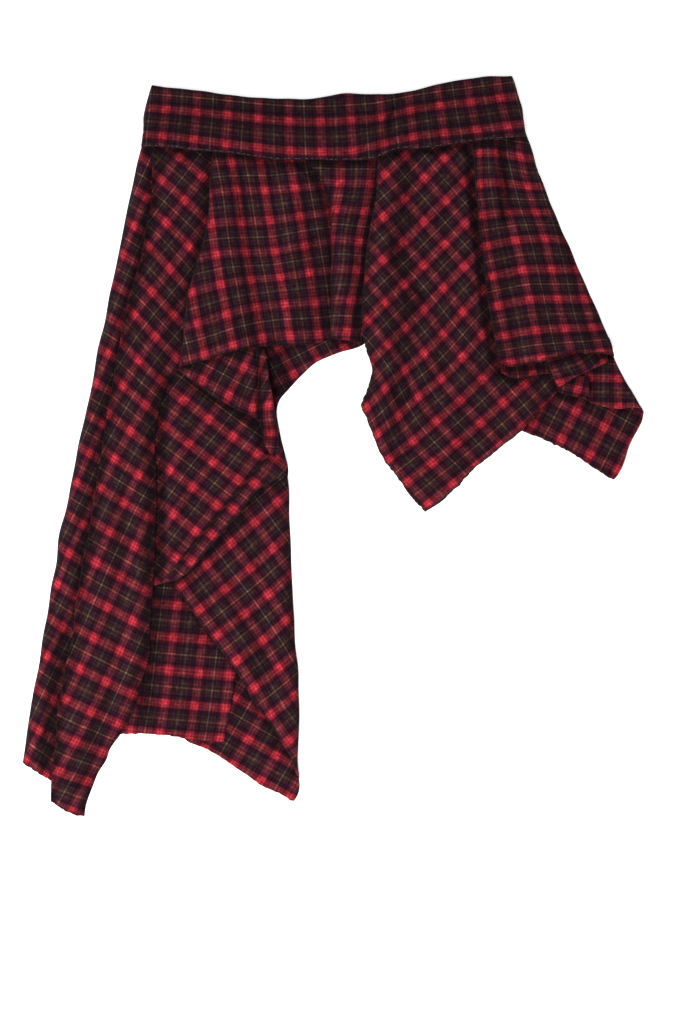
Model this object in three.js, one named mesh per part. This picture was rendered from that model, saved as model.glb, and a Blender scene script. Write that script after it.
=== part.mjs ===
import * as THREE from 'three';

// A short asymmetric tartan skirt, laid out flat with its front up. Millimetres, +Z up.
//
// Every piece of cloth is a wall of even thickness. Its plan comes from a table of sections:
// each row is a line across the piece, from its edge a to its edge b. Its height comes from
// laying it on the pieces that were laid before it, plus the loft of its own soft folds.
//
// The tables use layout coordinates: x to the right and y down the table that the skirt
// lies on, both from the table's upper left corner.

// ---------------------------------------------------------------- driving dimensions

const CLOTH = 1.4; // one layer of brushed cotton
const BAND_CLOTH = 2; // the waistband is two layers sewn together
const SEAM_GAP = 0.3; // between pieces that are sewn edge to edge
const LAYING_GAP = 0.4; // between a piece and the one that it lies on
const TABLE = { width: 680, depth: 850 }; // the layout table
const CELL = 2; // cell of the height map of the laid cloth
const ROLL_STEPS = [0, 0.13, 0.45, 1]; // rows over the curve of a folded edge
const MOST_ROLL = 0.3; // a folded edge curves over at most this share of the width
const BOW_REACH = 60; // how far from a curved end the curve fades out
const PRESS_REACH = 14; // how far from a covering edge the cloth below is pressed down
const SETTLING = 8; // rounds in which a piece eases over the steps below it

// Spacing of a piece's rows and columns: the folds run along it, so its columns are closer.
const LONG_PIECE = { along: 32, across: 12 };
const BENT_PIECE = { along: 19, across: 16 };
const SMALL_PIECE = { along: 13, across: 12 };
const FLAT_PIECE = { along: 24, across: 60 };

const CENTRE_BACK = 372; // x of the seam between the two back panels
const BACK_JOIN = 562; // y of the seam across the left back

const TARTAN = { dark: '#4a2129', red: '#6b2430' };

// ---------------------------------------------------------------- tables

/** Rows of numbers as objects, keyed by the column names. */
function table(columns, rows) {
  const names = columns.split(' ');
  return rows.map((row) => Object.fromEntries(names.map((name, i) => [name, row[i]])));
}

const sections = (rows) => table('ax ay bx by', rows);
const folds = (rows) => table('x1 y1 x2 y2 width height', rows);
const bows = (rows) => table('across push', rows);

// ---------------------------------------------------------------- maps of the table

/** One number for each cell of the layout table. */
class TableMap {
  constructor() {
    this.columns = Math.ceil(TABLE.width / CELL);
    this.rows = Math.ceil(TABLE.depth / CELL);
    this.values = new Float64Array(this.columns * this.rows);
  }

  at(x, y) {
    return this.values[Math.floor(y / CELL) * this.columns + Math.floor(x / CELL)];
  }

  /** Raises the cells around (x, y) to a value. */
  raise(x, y, value) {
    const column = Math.floor(x / CELL);
    const row = Math.floor(y / CELL);
    for (let r = row - 1; r <= row + 1; r += 1) {
      for (let c = column - 1; c <= column + 1; c += 1) {
        const i = r * this.columns + c;
        this.values[i] = Math.max(this.values[i], value);
      }
    }
  }

  /** Raises the cells under one triangle to the triangle's own z. */
  raiseTriangle(a, b, c) {
    const longest = Math.max(a.distanceTo(b), b.distanceTo(c), c.distanceTo(a));
    const n = Math.ceil(longest / (0.5 * CELL));
    const point = new THREE.Vector3();
    for (let i = 0; i <= n; i += 1) {
      for (let j = 0; j <= n - i; j += 1) {
        point.set(0, 0, 0);
        point.addScaledVector(a, i / n);
        point.addScaledVector(b, j / n);
        point.addScaledVector(c, (n - i - j) / n);
        this.raise(point.x, point.y, point.z);
      }
    }
  }

  /** The highest value inside a box of the table. */
  highest({ x1, y1, x2, y2 }) {
    let top = 0;
    for (let r = Math.floor(y1 / CELL); r <= Math.floor(y2 / CELL); r += 1) {
      for (let c = Math.floor(x1 / CELL); c <= Math.floor(x2 / CELL); c += 1) {
        top = Math.max(top, this.values[r * this.columns + c]);
      }
    }
    return top;
  }

  /** The map averaged over a square that reaches this far each way. */
  blurred(reach) {
    const cells = Math.round(reach / CELL);
    return this.#averaged(cells, 1).#averaged(cells, this.columns);
  }

  #averaged(cells, stride) {
    const result = new TableMap();
    const last = this.values.length - 1;
    this.values.forEach((_, i) => {
      let sum = 0;
      for (let k = -cells; k <= cells; k += 1) {
        sum += this.values[THREE.MathUtils.clamp(i + k * stride, 0, last)];
      }
      result.values[i] = sum / (2 * cells + 1);
    });
    return result;
  }
}

// ---------------------------------------------------------------- one piece of cloth

const rollHeight = (share) => Math.sqrt(1 - (1 - share) ** 2);

/** Distances of the columns or rows across a stretch whose ends may curve down. */
function stations(length, startRoll, endRoll, inner) {
  const most = MOST_ROLL * length;
  const start = startRoll ? Math.min(startRoll, most) : 0;
  const end = endRoll ? Math.min(endRoll, most) : 0;
  const places = [];
  if (start) {
    ROLL_STEPS.slice(0, -1).forEach((s) => places.push({ at: s * start, roll: rollHeight(s) }));
  }
  for (let i = 0; i <= inner; i += 1) {
    places.push({ at: start + ((length - start - end) * i) / inner, roll: 1 });
  }
  if (end) {
    ROLL_STEPS.slice(0, -1)
      .reverse()
      .forEach((s) => places.push({ at: length - s * end, roll: rollHeight(s) }));
  }
  return places;
}

/** The height that a fold adds at (x, y): a soft ridge, or a trough where it is negative. */
function foldHeight({ x1, y1, x2, y2, width, height }, x, y) {
  const line = new THREE.Line3(new THREE.Vector3(x1, y1, 0), new THREE.Vector3(x2, y2, 0));
  const place = new THREE.Vector3(x, y, 0);
  const nearest = line.closestPointToPoint(place, true, new THREE.Vector3());
  const away = nearest.distanceTo(place) / (width / 2);
  return away >= 1 ? 0 : height * (1 - away ** 2) ** 2;
}

/** How far a curved end is pushed along the piece, at a share of the way across it. */
function bowAt(rows, across) {
  const next = Math.max(1, rows.findIndex((row) => row.across >= across));
  const [before, after] = [rows[next - 1], rows[next]];
  const share = (across - before.across) / (after.across - before.across);
  return THREE.MathUtils.lerp(before.push, after.push, share);
}

class ClothPiece {
  /**
   * roll holds the width of the curve at each folded edge: a, b, top (first row), hem (last
   * row). loft is how high the piece stands off the cloth below, away from those edges. topBow
   * and hemBow push the first and the last row along the piece.
   */
  constructor({ roll = {}, loft = 0, foldRows = [], topBow = [], hemBow = [], cloth = CLOTH, ...rest }) {
    Object.assign(this, { roll, loft, foldRows, topBow, hemBow, cloth, ...rest });
    this.grid = this.#plan();
  }

  /** The grid of plan points, row by row, each with its share of the loft. */
  #plan() {
    const edge = (x, y) =>
      new THREE.CatmullRomCurve3(this.rows.map((row) => new THREE.Vector3(row[x], row[y], 0)));
    const edgeA = edge('ax', 'ay');
    const edgeB = edge('bx', 'by');
    const across = (t) => [edgeA.getPoint(t), edgeB.getPoint(t)];
    const { lengths, total } = this.#lengthsAlong(across);
    const widest = Math.max(...this.rows.map((r) => Math.hypot(r.bx - r.ax, r.by - r.ay)));
    const columns = Math.max(1, Math.round(widest / this.step.across));
    const rows = Math.max(2, Math.round(total / this.step.along));
    return stations(total, this.roll.top, this.roll.hem, rows).map((row) => {
      const t = this.#parameterAt(lengths, row.at);
      const [a, b] = across(t);
      const width = a.distanceTo(b);
      const heading = edgeA.getTangent(t).add(edgeB.getTangent(t)).normalize();
      return stations(width, this.roll.a, this.roll.b, columns).map((column) => {
        const share = column.at / width;
        const point = new THREE.Vector3().lerpVectors(a, b, share);
        point.addScaledVector(heading, this.#push(share, row.at, total - row.at));
        return { x: point.x, y: point.y, roll: row.roll * column.roll };
      });
    });
  }

  /** The length along the middle of the piece, at even steps of the edges' parameter. */
  #lengthsAlong(across) {
    const samples = 10 * this.rows.length;
    const lengths = [0];
    let last = null;
    for (let i = 0; i <= samples; i += 1) {
      const [a, b] = across(i / samples);
      const middle = a.add(b).multiplyScalar(0.5);
      if (last) lengths.push(lengths[i - 1] + middle.distanceTo(last));
      last = middle;
    }
    return { lengths, total: lengths[samples] };
  }

  /** The edges' parameter at a length along the piece. */
  #parameterAt(lengths, length) {
    const samples = lengths.length - 1;
    const next = Math.max(1, lengths.findIndex((l) => l >= length - 1e-9));
    const share = (length - lengths[next - 1]) / (lengths[next] - lengths[next - 1]);
    return Math.min(1, (next - 1 + share) / samples);
  }

  /** How far the curves of both ends push a point along the piece. */
  #push(across, fromTop, fromHem) {
    const fade = (distance) => Math.max(0, 1 - distance / BOW_REACH) ** 2;
    const top = this.topBow.length ? bowAt(this.topBow, across) * fade(fromTop) : 0;
    const hem = this.hemBow.length ? bowAt(this.hemBow, across) * fade(fromHem) : 0;
    return top + hem;
  }

  /** Lays the piece on the cloth below it: fills in the height of each point's underside. */
  layOn(laid) {
    this.#eachPoint((point, r, c) => {
      const under = laid.highest(this.#reachOf(r, c));
      point.support = under > 0 ? under + LAYING_GAP : 0;
      point.z = point.support;
    });
    for (let round = 0; round < SETTLING; round += 1) this.#settle();
    this.#eachPoint((point) => {
      const lift = this.foldRows.reduce((sum, f) => sum + foldHeight(f, point.x, point.y), this.loft);
      point.z += point.roll * (1 - point.pressed) * Math.max(0, lift);
    });
    this.#eachTriangle((corners) => {
      laid.raiseTriangle(...corners.map((p) => new THREE.Vector3(p.x, p.y, p.z + this.cloth)));
    });
  }

  /**
   * Notes how far the pieces laid on top press each point down, wholly from their edges
   * inwards, and then adds this piece to them.
   */
  pressBelow(covers) {
    const pressed = covers.blurred(PRESS_REACH);
    this.#eachPoint((point) => {
      point.pressed = Math.min(1, 2 * pressed.at(point.x, point.y));
    });
    this.#eachTriangle((corners) => {
      covers.raiseTriangle(...corners.map((p) => new THREE.Vector3(p.x, p.y, 1)));
    });
  }

  /** The box of the table that the faces around a grid point cover. */
  #reachOf(r, c) {
    const near = [];
    for (let i = Math.max(0, r - 1); i <= Math.min(this.grid.length - 1, r + 1); i += 1) {
      for (let j = Math.max(0, c - 1); j <= Math.min(this.grid[i].length - 1, c + 1); j += 1) {
        near.push(this.grid[i][j]);
      }
    }
    const xs = near.map((point) => point.x);
    const ys = near.map((point) => point.y);
    return { x1: Math.min(...xs), y1: Math.min(...ys), x2: Math.max(...xs), y2: Math.max(...ys) };
  }

  /** Eases the piece over the steps below it, never lower than what carries it. */
  #settle() {
    for (let r = 1; r < this.grid.length - 1; r += 1) {
      for (let c = 1; c < this.grid[r].length - 1; c += 1) {
        const point = this.grid[r][c];
        const around = [this.grid[r - 1][c], this.grid[r + 1][c], this.grid[r][c - 1], this.grid[r][c + 1]];
        const mean = around.reduce((sum, p) => sum + p.z, 0) / around.length;
        point.z = Math.max(point.support, mean);
      }
    }
  }

  #eachPoint(visit) {
    this.grid.forEach((row, r) => row.forEach((point, c) => visit(point, r, c)));
  }

  #eachTriangle(visit) {
    for (let r = 0; r < this.grid.length - 1; r += 1) {
      for (let c = 0; c < this.grid[r].length - 1; c += 1) {
        const [a, b] = [this.grid[r][c], this.grid[r][c + 1]];
        const [d, e] = [this.grid[r + 1][c], this.grid[r + 1][c + 1]];
        visit([a, b, e]);
        visit([a, e, d]);
      }
    }
  }

  /** The closed wall: upper side, underside and the cut edge all round. */
  mesh() {
    const columns = this.grid[0].length;
    const count = this.grid.length * columns;
    const positions = [];
    const place = (point, z) => positions.push(point.x, -point.y, z);
    this.#eachPoint((point) => place(point, point.z + this.cloth));
    this.#eachPoint((point) => place(point, point.z));
    const faces = [];
    const indexOf = new Map(this.grid.flat().map((point, i) => [point, i]));
    this.#eachTriangle((corners) => {
      const [a, b, c] = corners.map((point) => indexOf.get(point));
      faces.push([a, b, c], [count + a, count + c, count + b]);
    });
    const rim = this.#rim(columns);
    rim.forEach((from, i) => {
      const to = rim[(i + 1) % rim.length];
      faces.push([to, from, count + from], [to, count + from, count + to]);
    });
    const geometry = new THREE.BufferGeometry();
    geometry.setAttribute('position', new THREE.Float32BufferAttribute(positions, 3));
    geometry.setIndex(faces.map((face) => (this.#facesUp() ? face : face.toReversed())).flat());
    geometry.computeVertexNormals();
    const material = new THREE.MeshStandardMaterial({ color: this.tone, roughness: 0.95, metalness: 0 });
    const mesh = new THREE.Mesh(geometry, material);
    mesh.name = this.name;
    return mesh;
  }

  /** The grid points along the outline, in the order of the first row. */
  #rim(columns) {
    const last = this.grid.length - 1;
    const index = (r, c) => r * columns + c;
    const rim = [];
    for (let c = 0; c < columns - 1; c += 1) rim.push(index(0, c));
    for (let r = 0; r < last; r += 1) rim.push(index(r, columns - 1));
    for (let c = columns - 1; c > 0; c -= 1) rim.push(index(last, c));
    for (let r = last; r > 0; r -= 1) rim.push(index(r, 0));
    return rim;
  }

  /** True where the grid's own turning sense makes the upper side face up. */
  #facesUp() {
    const outline = this.#rim(this.grid[0].length).map((i) => this.grid.flat()[i]);
    return THREE.ShapeUtils.area(outline.map((p) => new THREE.Vector2(p.x, -p.y))) > 0;
  }
}

// ---------------------------------------------------------------- the waistband

/** Top edge (a) and lower seam (b) of the band, from its left end to its right end. */
const BAND_ROWS = sections([
  [152, 87, 142, 147],
  [180, 90, 176, 148.5],
  [220, 95, 218, 152.5],
  [262, 99.5, 262, 158],
  [300, 100, 300, 160],
  [345, 95.5, 340, 160],
  [373, 96, 370, 160],
  [398, 95, 390, 150.5],
  [425, 89, 420, 148.5],
  [455, 82, 452, 144.5],
  [485, 77.5, 487, 140],
  [511, 77, 525, 137],
]);

const BACK_BAND_INSET = 5; // the fold at each end of the band wraps round this much

function waistbandBack() {
  const rows = BAND_ROWS.map((row) => ({ ...row }));
  const [first, last] = [rows[0], rows.at(-1)];
  first.ax += BACK_BAND_INSET;
  first.bx += BACK_BAND_INSET;
  last.ax -= BACK_BAND_INSET;
  last.bx -= BACK_BAND_INSET;
  return new ClothPiece({
    name: 'waistband_back',
    tone: TARTAN.dark,
    rows,
    step: FLAT_PIECE,
    cloth: BAND_CLOTH,
  });
}

function waistbandFront() {
  return new ClothPiece({
    name: 'waistband_front',
    step: LONG_PIECE,
    rows: BAND_ROWS,
    roll: { a: 5, top: 9, hem: 9 },
    loft: 1.2,
    cloth: BAND_CLOTH,
    topBow: bows([
      [0, 0],
      [0.5, -2.6],
      [1, 0],
    ]),
    hemBow: bows([
      [0, 0],
      [0.5, 3.4],
      [1, 0],
    ]),
    tone: TARTAN.red,
    foldRows: folds([[399, 93, 378, 158, 14, -1.2]]),
  });
}

// ---------------------------------------------------------------- the back

function leftBack() {
  return new ClothPiece({
    name: 'left_back',
    step: FLAT_PIECE,
    tone: TARTAN.dark,
    rows: sections([
      [153, 140, CENTRE_BACK - SEAM_GAP / 2, 152],
      [137, 215, CENTRE_BACK - SEAM_GAP / 2, 220],
      [122, 285, CENTRE_BACK - SEAM_GAP / 2, 290],
      [113, 330, CENTRE_BACK - SEAM_GAP / 2, 325],
      [110, 345, 367, 342],
      [107, 356, 338, 353],
      [105, 366, 314, 363.5],
      [103, 376, 300, 376],
      [101, 388, 289.5, 388],
      [99, 400, 279.5, 400],
      [96, 412, 276.5, 412],
      [92, 432, 279.5, 432],
      [87, 455, 285, 455],
      [83.5, 474, 287, 474],
      [76, 510, 275, 510],
      [65, BACK_JOIN - SEAM_GAP, 262, BACK_JOIN - SEAM_GAP],
    ]),
  });
}

function rightBack() {
  return new ClothPiece({
    name: 'right_back',
    step: FLAT_PIECE,
    tone: TARTAN.dark,
    rows: sections([
      [CENTRE_BACK + SEAM_GAP / 2, 152, 513, 131],
      [CENTRE_BACK + SEAM_GAP / 2, 200, 538, 190],
      [CENTRE_BACK + SEAM_GAP / 2, 240, 554, 238],
      [CENTRE_BACK + SEAM_GAP / 2, 290, 576, 288],
      [CENTRE_BACK + SEAM_GAP / 2, 325, 590, 325],
      [CENTRE_BACK + SEAM_GAP / 2, 345, 598, 350],
    ]),
  });
}

/** The straight-grain panel across the left back, which shows between the drapes. */
function leftInnerPanel() {
  return new ClothPiece({
    name: 'left_inner_panel',
    step: FLAT_PIECE,
    tone: TARTAN.red,
    rows: sections([
      [65, BACK_JOIN, 262, BACK_JOIN],
      [54, 620, 249, 620],
      [44, 675, 236, 675],
      [39, 700, 232.5, 700],
      [36, 722, 228, 722],
      [34, 735, 224, 742],
    ]),
    hemBow: bows([
      [0, 0],
      [0.5, -5],
      [0.6, -5.5],
      [0.8, -3],
      [1, 0],
    ]),
  });
}

// ---------------------------------------------------------------- the left drapes

function cornerTurnUnder() {
  return new ClothPiece({
    name: 'corner_turn_under',
    step: FLAT_PIECE,
    tone: TARTAN.dark,
    rows: sections([
      [262, 610, 287, 606],
      [236, 650, 290, 650],
      [212, 695, 293, 695],
      [188, 738.5, 293, 735],
      [210, 750.5, 293.5, 752],
      [228, 763, 293.5, 764],
      [247, 774, 295.5, 777],
      [268, 787.5, 298.5, 786],
      [283, 796, 296.5, 796],
      [290, 800.5, 293, 801],
    ]),
  });
}

function cornerDrape() {
  return new ClothPiece({
    name: 'corner_drape',
    step: BENT_PIECE,
    tone: TARTAN.red,
    roll: { a: 9, b: 12, hem: 6 },
    loft: 2.6,
    rows: sections([
      [250, 470, 284, 462],
      [232, 497, 288, 490],
      [205, 525, 289, 517],
      [183, 553, 290.5, 545],
      [171, 578, 291.5, 570],
      [187, 601, 292.5, 598],
      [204, 627, 294, 624],
      [224, 653, 296, 650],
      [240, 676, 298, 676],
      [253, 700, 299, 702],
      [269, 722, 298.5, 726],
      [284, 744, 298, 748],
      [292, 758, 298, 764],
      [296, 772, 299.5, 778],
    ]),
    foldRows: folds([
      [270, 520, 280, 700, 30, 1],
      [225, 590, 262, 660, 30, -0.8],
    ]),
  });
}

function middleDrape() {
  return new ClothPiece({
    name: 'left_middle_drape',
    step: BENT_PIECE,
    tone: TARTAN.red,
    roll: { b: 11, hem: 9 },
    loft: 2.8,
    rows: sections([
      [150, 352, 240, 350],
      [138, 385, 262, 385],
      [132, 415, 275, 415],
      [128, 445, 281, 445],
      [127, 472, 285.5, 470],
      [127, 497, 259, 490],
      [128, 522, 232, 521],
      [130, 545, 212, 545],
      [133, 566, 194, 566],
      [140, 588, 176, 580],
    ]),
    foldRows: folds([
      [266, 458, 180, 561, 16, -2.8],
      [274, 468, 192, 556, 20, 2.4],
      [240, 430, 200, 480, 44, 1],
      [128, 440, 130, 560, 40, -2.8],
    ]),
  });
}

function crotchPiece() {
  return new ClothPiece({
    name: 'crotch_piece',
    step: SMALL_PIECE,
    tone: TARTAN.red,
    roll: { b: 8, hem: 6 },
    loft: 2.6,
    rows: sections([
      [188, 345, 178, 369],
      [205, 340, 200, 385.5],
      [224, 335, 222, 400.5],
      [240, 332, 240, 411],
      [252, 334, 254, 418],
      [260, 340, 262, 434],
      [266, 360, 270, 446],
      [271, 385, 279, 440],
      [273, 400, 277.5, 425],
    ]),
    foldRows: folds([
      [250, 345, 254, 410, 14, 1.6],
      [260, 350, 262, 436, 12, -2.4],
      [267, 360, 270, 430, 13, 1.6],
    ]),
  });
}

function leftSide() {
  return new ClothPiece({
    name: 'left_side',
    step: LONG_PIECE,
    tone: TARTAN.dark,
    roll: { a: 13 },
    loft: 2.2,
    rows: sections([
      [143.5, 139, 181, 141],
      [132, 190, 176, 196],
      [118, 260, 165, 264],
      [109.5, 300, 152, 304],
      [99, 350, 143, 355],
      [86.5, 410, 133, 417],
      [72, 480, 121, 488],
      [60, 540, 110, 548],
      [50, 603, 99, 612],
      [40, 660, 90, 670],
      [31, 712, 82, 724],
      [23, 763, 76, 795],
    ]),
    foldRows: folds([
      [62, 640, 52, 780, 26, -2],
      [165, 200, 100, 540, 26, -1.6],
    ]),
  });
}

function leftFrontDrape() {
  return new ClothPiece({
    name: 'left_front_drape',
    step: LONG_PIECE,
    tone: TARTAN.red,
    roll: { a: 10, b: 13 },
    loft: 4,
    rows: sections([
      [155, 141, 240, 146],
      [151, 206, 236, 210],
      [140, 263, 228, 268],
      [130, 297, 218, 302],
      [121, 340, 204, 345],
      [114.5, 378, 171, 378],
      [110, 405, 159, 408],
      [104, 440, 155, 440],
      [97, 487, 157, 487],
      [90.5, 525, 156, 527],
      [82, 570, 154.5, 570],
      [75.5, 612, 151, 612],
      [68.6, 656, 149, 655],
      [62, 688, 140, 687],
      [58, 715, 129.5, 714],
      [55.7, 750, 111, 750],
      [52, 775, 96, 775],
      [51, 800, 84, 816],
    ]),
    hemBow: bows([
      [0, 1],
      [0.35, 4],
      [0.75, 3.6],
      [1, 0],
    ]),
    foldRows: folds([
      [188, 165, 158, 300, 34, 1],
      [210, 170, 170, 365, 30, -3],
      [130, 420, 118, 600, 44, 1.6],
      [104, 620, 76, 790, 40, 1.4],
      [96, 520, 74, 700, 16, -1.4],
    ]),
  });
}

// ---------------------------------------------------------------- the centre

function centrePanel() {
  return new ClothPiece({
    name: 'centre_panel',
    step: LONG_PIECE,
    tone: TARTAN.red,
    roll: { a: 9 },
    loft: 2.8,
    rows: sections([
      [214, 146, 328, 152],
      [210, 195, 336, 190],
      [207, 228, 343, 226],
      [196, 269, 345, 264],
      [188, 297, 345, 293],
      [184.5, 331, 345, 315],
      [180, 367, 345, 334],
    ]),
    hemBow: bows([
      [0, 0],
      [0.16, -0.5],
      [0.36, -6],
      [0.55, -4],
      [0.7, 1.5],
      [0.85, 3.5],
      [1, 0],
    ]),
    foldRows: folds([
      [208, 205, 230, 350, 34, 1.8],
      [236, 175, 256, 345, 26, -2],
      [283, 185, 288, 340, 36, 2],
      [322, 190, 318, 338, 30, -2.8],
    ]),
  });
}

function centrePleat() {
  return new ClothPiece({
    name: 'centre_pleat',
    step: LONG_PIECE,
    tone: TARTAN.red,
    roll: { a: 9 },
    loft: 3,
    rows: sections([
      [309, 151, 392, 147],
      [316, 178, 390, 176],
      [329, 205, 387, 203],
      [331, 240, 382, 238],
      [331.5, 285, 378, 284],
      [331.5, 320, 377, 320],
      [332, 338, 378, 345],
    ]),
    foldRows: folds([
      [346, 195, 342, 330, 26, 1.2],
      [378, 170, 366, 340, 30, -3],
    ]),
  });
}

// ---------------------------------------------------------------- the right front

function rightBiasPanel() {
  return new ClothPiece({
    name: 'right_bias_panel',
    step: BENT_PIECE,
    tone: TARTAN.red,
    roll: { a: 12 },
    loft: 4.6,
    rows: sections([
      [378, 147, 500, 134],
      [376, 200, 505, 190],
      [369, 237, 508, 235],
      [364, 285, 512, 282],
      [363, 329, 518, 328],
      [368, 355, 530, 350],
      [372.5, 371, 541, 362],
      [366, 392, 553, 377],
      [360.8, 407, 556, 391],
      [368, 421, 546, 403.5],
      [376, 443, 533, 419],
      [388, 465, 521, 431.5],
      [403, 485, 494, 452],
      [414.5, 499, 468, 475],
      [425, 511.5, 441, 502],
    ]),
    foldRows: folds([
      [410, 150, 408, 290, 30, -2.6],
      [412, 280, 400, 440, 36, -4.4],
      [380, 240, 383, 330, 28, 1.4],
      [452, 190, 460, 390, 54, 2.2],
      [440, 400, 432, 480, 50, 1],
      [478, 170, 500, 360, 34, -4.2],
      [535, 360, 545, 400, 40, -3.6],
    ]),
  });
}

function rightSidePanel() {
  return new ClothPiece({
    name: 'right_side_panel',
    step: LONG_PIECE,
    tone: TARTAN.red,
    roll: { a: 9, b: 13 },
    loft: 3.6,
    rows: sections([
      [472, 135, 524.5, 130],
      [476, 188, 543, 185],
      [480.5, 237, 564, 237],
      [485, 275, 579, 272],
      [490, 312, 596, 308],
      [495, 342, 608, 339],
      [500, 364, 613.5, 356],
    ]),
    hemBow: bows([
      [0, 0],
      [0.1, 4.4],
      [0.24, 1],
      [0.36, 1],
      [0.5, -4],
      [0.62, -7],
      [0.78, -4],
      [0.87, -6.5],
      [1, 0],
    ]),
    foldRows: folds([
      [500, 135, 507, 225, 16, -3],
      [517, 235, 526, 350, 46, 1.8],
      [556, 225, 578, 335, 28, -2],
      [505, 372, 545, 366, 20, 1.6],
    ]),
  });
}

function rightUnderHem() {
  return new ClothPiece({
    name: 'right_under_hem',
    step: SMALL_PIECE,
    tone: TARTAN.dark,
    roll: { b: 5 },
    loft: 1.2,
    rows: sections([
      [500, 350, 501, 372],
      [513, 350, 512, 377],
      [532, 348, 531, 375.5],
      [553, 346, 554, 373],
    ]),
  });
}

function rightHemTurnup() {
  return new ClothPiece({
    name: 'right_hem_turnup',
    step: SMALL_PIECE,
    tone: TARTAN.red,
    roll: { b: 6, top: 4 },
    loft: 1.6,
    rows: sections([
      [549, 348, 549, 364],
      [552, 347, 553, 377],
      [556, 346, 557.5, 387],
      [563, 346, 564, 383],
      [574, 344, 575, 376.5],
      [588, 344, 589, 371],
      [598, 343, 600, 366],
      [606, 346, 608, 361],
    ]),
  });
}

function rightHemCurl() {
  return new ClothPiece({
    name: 'right_hem_curl',
    step: SMALL_PIECE,
    tone: TARTAN.red,
    loft: 0.6,
    rows: sections([
      [558, 379, 556, 391],
      [566, 377, 566, 394],
      [577, 376, 577, 396],
      [586, 375, 589, 395],
      [592, 377, 592, 387],
    ]),
  });
}

function rightGodet() {
  return new ClothPiece({
    name: 'right_godet',
    step: SMALL_PIECE,
    tone: TARTAN.red,
    roll: { b: 7 },
    loft: 1.4,
    rows: sections([
      [588, 352, 604, 350],
      [584, 366, 613, 362],
      [582, 380, 624, 380],
      [583, 393, 632.5, 394],
      [588, 400, 640.5, 408],
    ]),
    hemBow: bows([
      [0, 0],
      [0.3, 3.6],
      [0.57, 3.4],
      [0.85, -0.7],
      [1, 0],
    ]),
  });
}

function rightPoint() {
  return new ClothPiece({
    name: 'right_point',
    step: SMALL_PIECE,
    tone: TARTAN.red,
    roll: { hem: 5 },
    loft: 0.8,
    rows: sections([
      [540, 382, 512, 422],
      [548, 384, 524, 431],
      [556, 385, 540, 437.5],
      [570, 384, 562, 448],
      [588, 384, 585, 461],
      [605, 390, 606, 475.5],
      [622, 398, 613, 479],
      [634, 402, 619, 470],
      [641, 407.5, 628.5, 447],
      [643.5, 412, 642, 420],
    ]),
  });
}

// ---------------------------------------------------------------- the laid skirt

/** From the table up. */
const LAYING_ORDER = [
  waistbandBack,
  leftBack,
  rightBack,
  cornerTurnUnder,
  leftInnerPanel,
  cornerDrape,
  middleDrape,
  crotchPiece,
  leftSide,
  leftFrontDrape,
  centrePanel,
  centrePleat,
  rightPoint,
  rightGodet,
  rightBiasPanel,
  rightHemCurl,
  rightUnderHem,
  rightHemTurnup,
  rightSidePanel,
  waistbandFront,
];

/** Puts the origin under the middle of the skirt's box, on the surface that it lies on. */
function centre(group) {
  const box = new THREE.Box3().setFromObject(group);
  const middle = box.getCenter(new THREE.Vector3());
  group.position.set(-middle.x, -middle.y, -box.min.z);
  return group;
}

function skirt() {
  const pieces = LAYING_ORDER.map((make) => make());
  const covers = new TableMap();
  pieces.toReversed().forEach((piece) => piece.pressBelow(covers));
  const laid = new TableMap();
  pieces.forEach((piece) => piece.layOn(laid));
  const group = new THREE.Group();
  pieces.forEach((piece) => group.add(piece.mesh()));
  return centre(group);
}

export default skirt();
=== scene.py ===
import logging
import math
from collections.abc import Callable, Iterable, Sequence
from dataclasses import asdict, dataclass, field
from enum import Enum

import bpy
import numpy as np
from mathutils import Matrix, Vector


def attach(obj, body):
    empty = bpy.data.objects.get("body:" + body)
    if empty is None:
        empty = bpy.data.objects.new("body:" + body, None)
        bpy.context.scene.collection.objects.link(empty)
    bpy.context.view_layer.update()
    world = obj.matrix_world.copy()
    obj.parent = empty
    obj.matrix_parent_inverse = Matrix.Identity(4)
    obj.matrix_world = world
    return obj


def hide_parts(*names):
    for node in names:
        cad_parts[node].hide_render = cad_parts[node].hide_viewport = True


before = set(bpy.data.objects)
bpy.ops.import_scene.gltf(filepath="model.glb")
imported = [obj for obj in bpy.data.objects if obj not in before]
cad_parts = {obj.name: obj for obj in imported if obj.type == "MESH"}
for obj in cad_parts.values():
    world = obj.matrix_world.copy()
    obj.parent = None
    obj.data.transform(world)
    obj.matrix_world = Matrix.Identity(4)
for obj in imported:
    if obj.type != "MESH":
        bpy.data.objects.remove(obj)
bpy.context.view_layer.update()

# A short asymmetric tartan skirt, laid out flat with its front up.
#
# Each piece of cloth is cut by a table of sections: a row is a line across the piece, from its
# edge a to its edge b. The pieces are laid on each other from the table up, and each adds the
# loft of its own soft folds. The tables use layout millimetres: x to the right and y down the
# table that the skirt lies on.

log = logging.getLogger("tartan_skirt")

MM = 0.001  # metres in a layout millimetre
LAYOUT_CENTRE = (333.25, 446.25)  # the point of the layout that lies on the origin
TABLE = (690.0, 860.0)  # width and depth of the layout table
CELL = 1.5  # cell of the maps of the table
FACE_POINTS = 4  # points along each side of a face that mark the cells under it
STEP = 2.2  # spacing of a piece's rows and columns
LEAST_STEPS = 3  # rows or columns of the smallest piece
CURVE_STEPS = 20  # steps for each section in which a piece's length is measured
CLOTH = 1.2  # one layer of brushed cotton with its nap
BAND_CLOTH = 2.0  # the waistband is two layers
RIM_BULGE = 0.4  # how far a cut edge rounds outwards, as a share of the cloth
LAYING_GAP = 0.3  # between a piece and the one that it lies on
MOST_ROLL = 0.3  # a folded edge curves over at most this share of the width
ROLL_SHARES = (0.0, 0.04, 0.13, 0.28, 0.48, 0.72)  # columns over the curve of a folded edge
BOW_REACH = 60.0  # how far from a curved end the curve fades out
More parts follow.
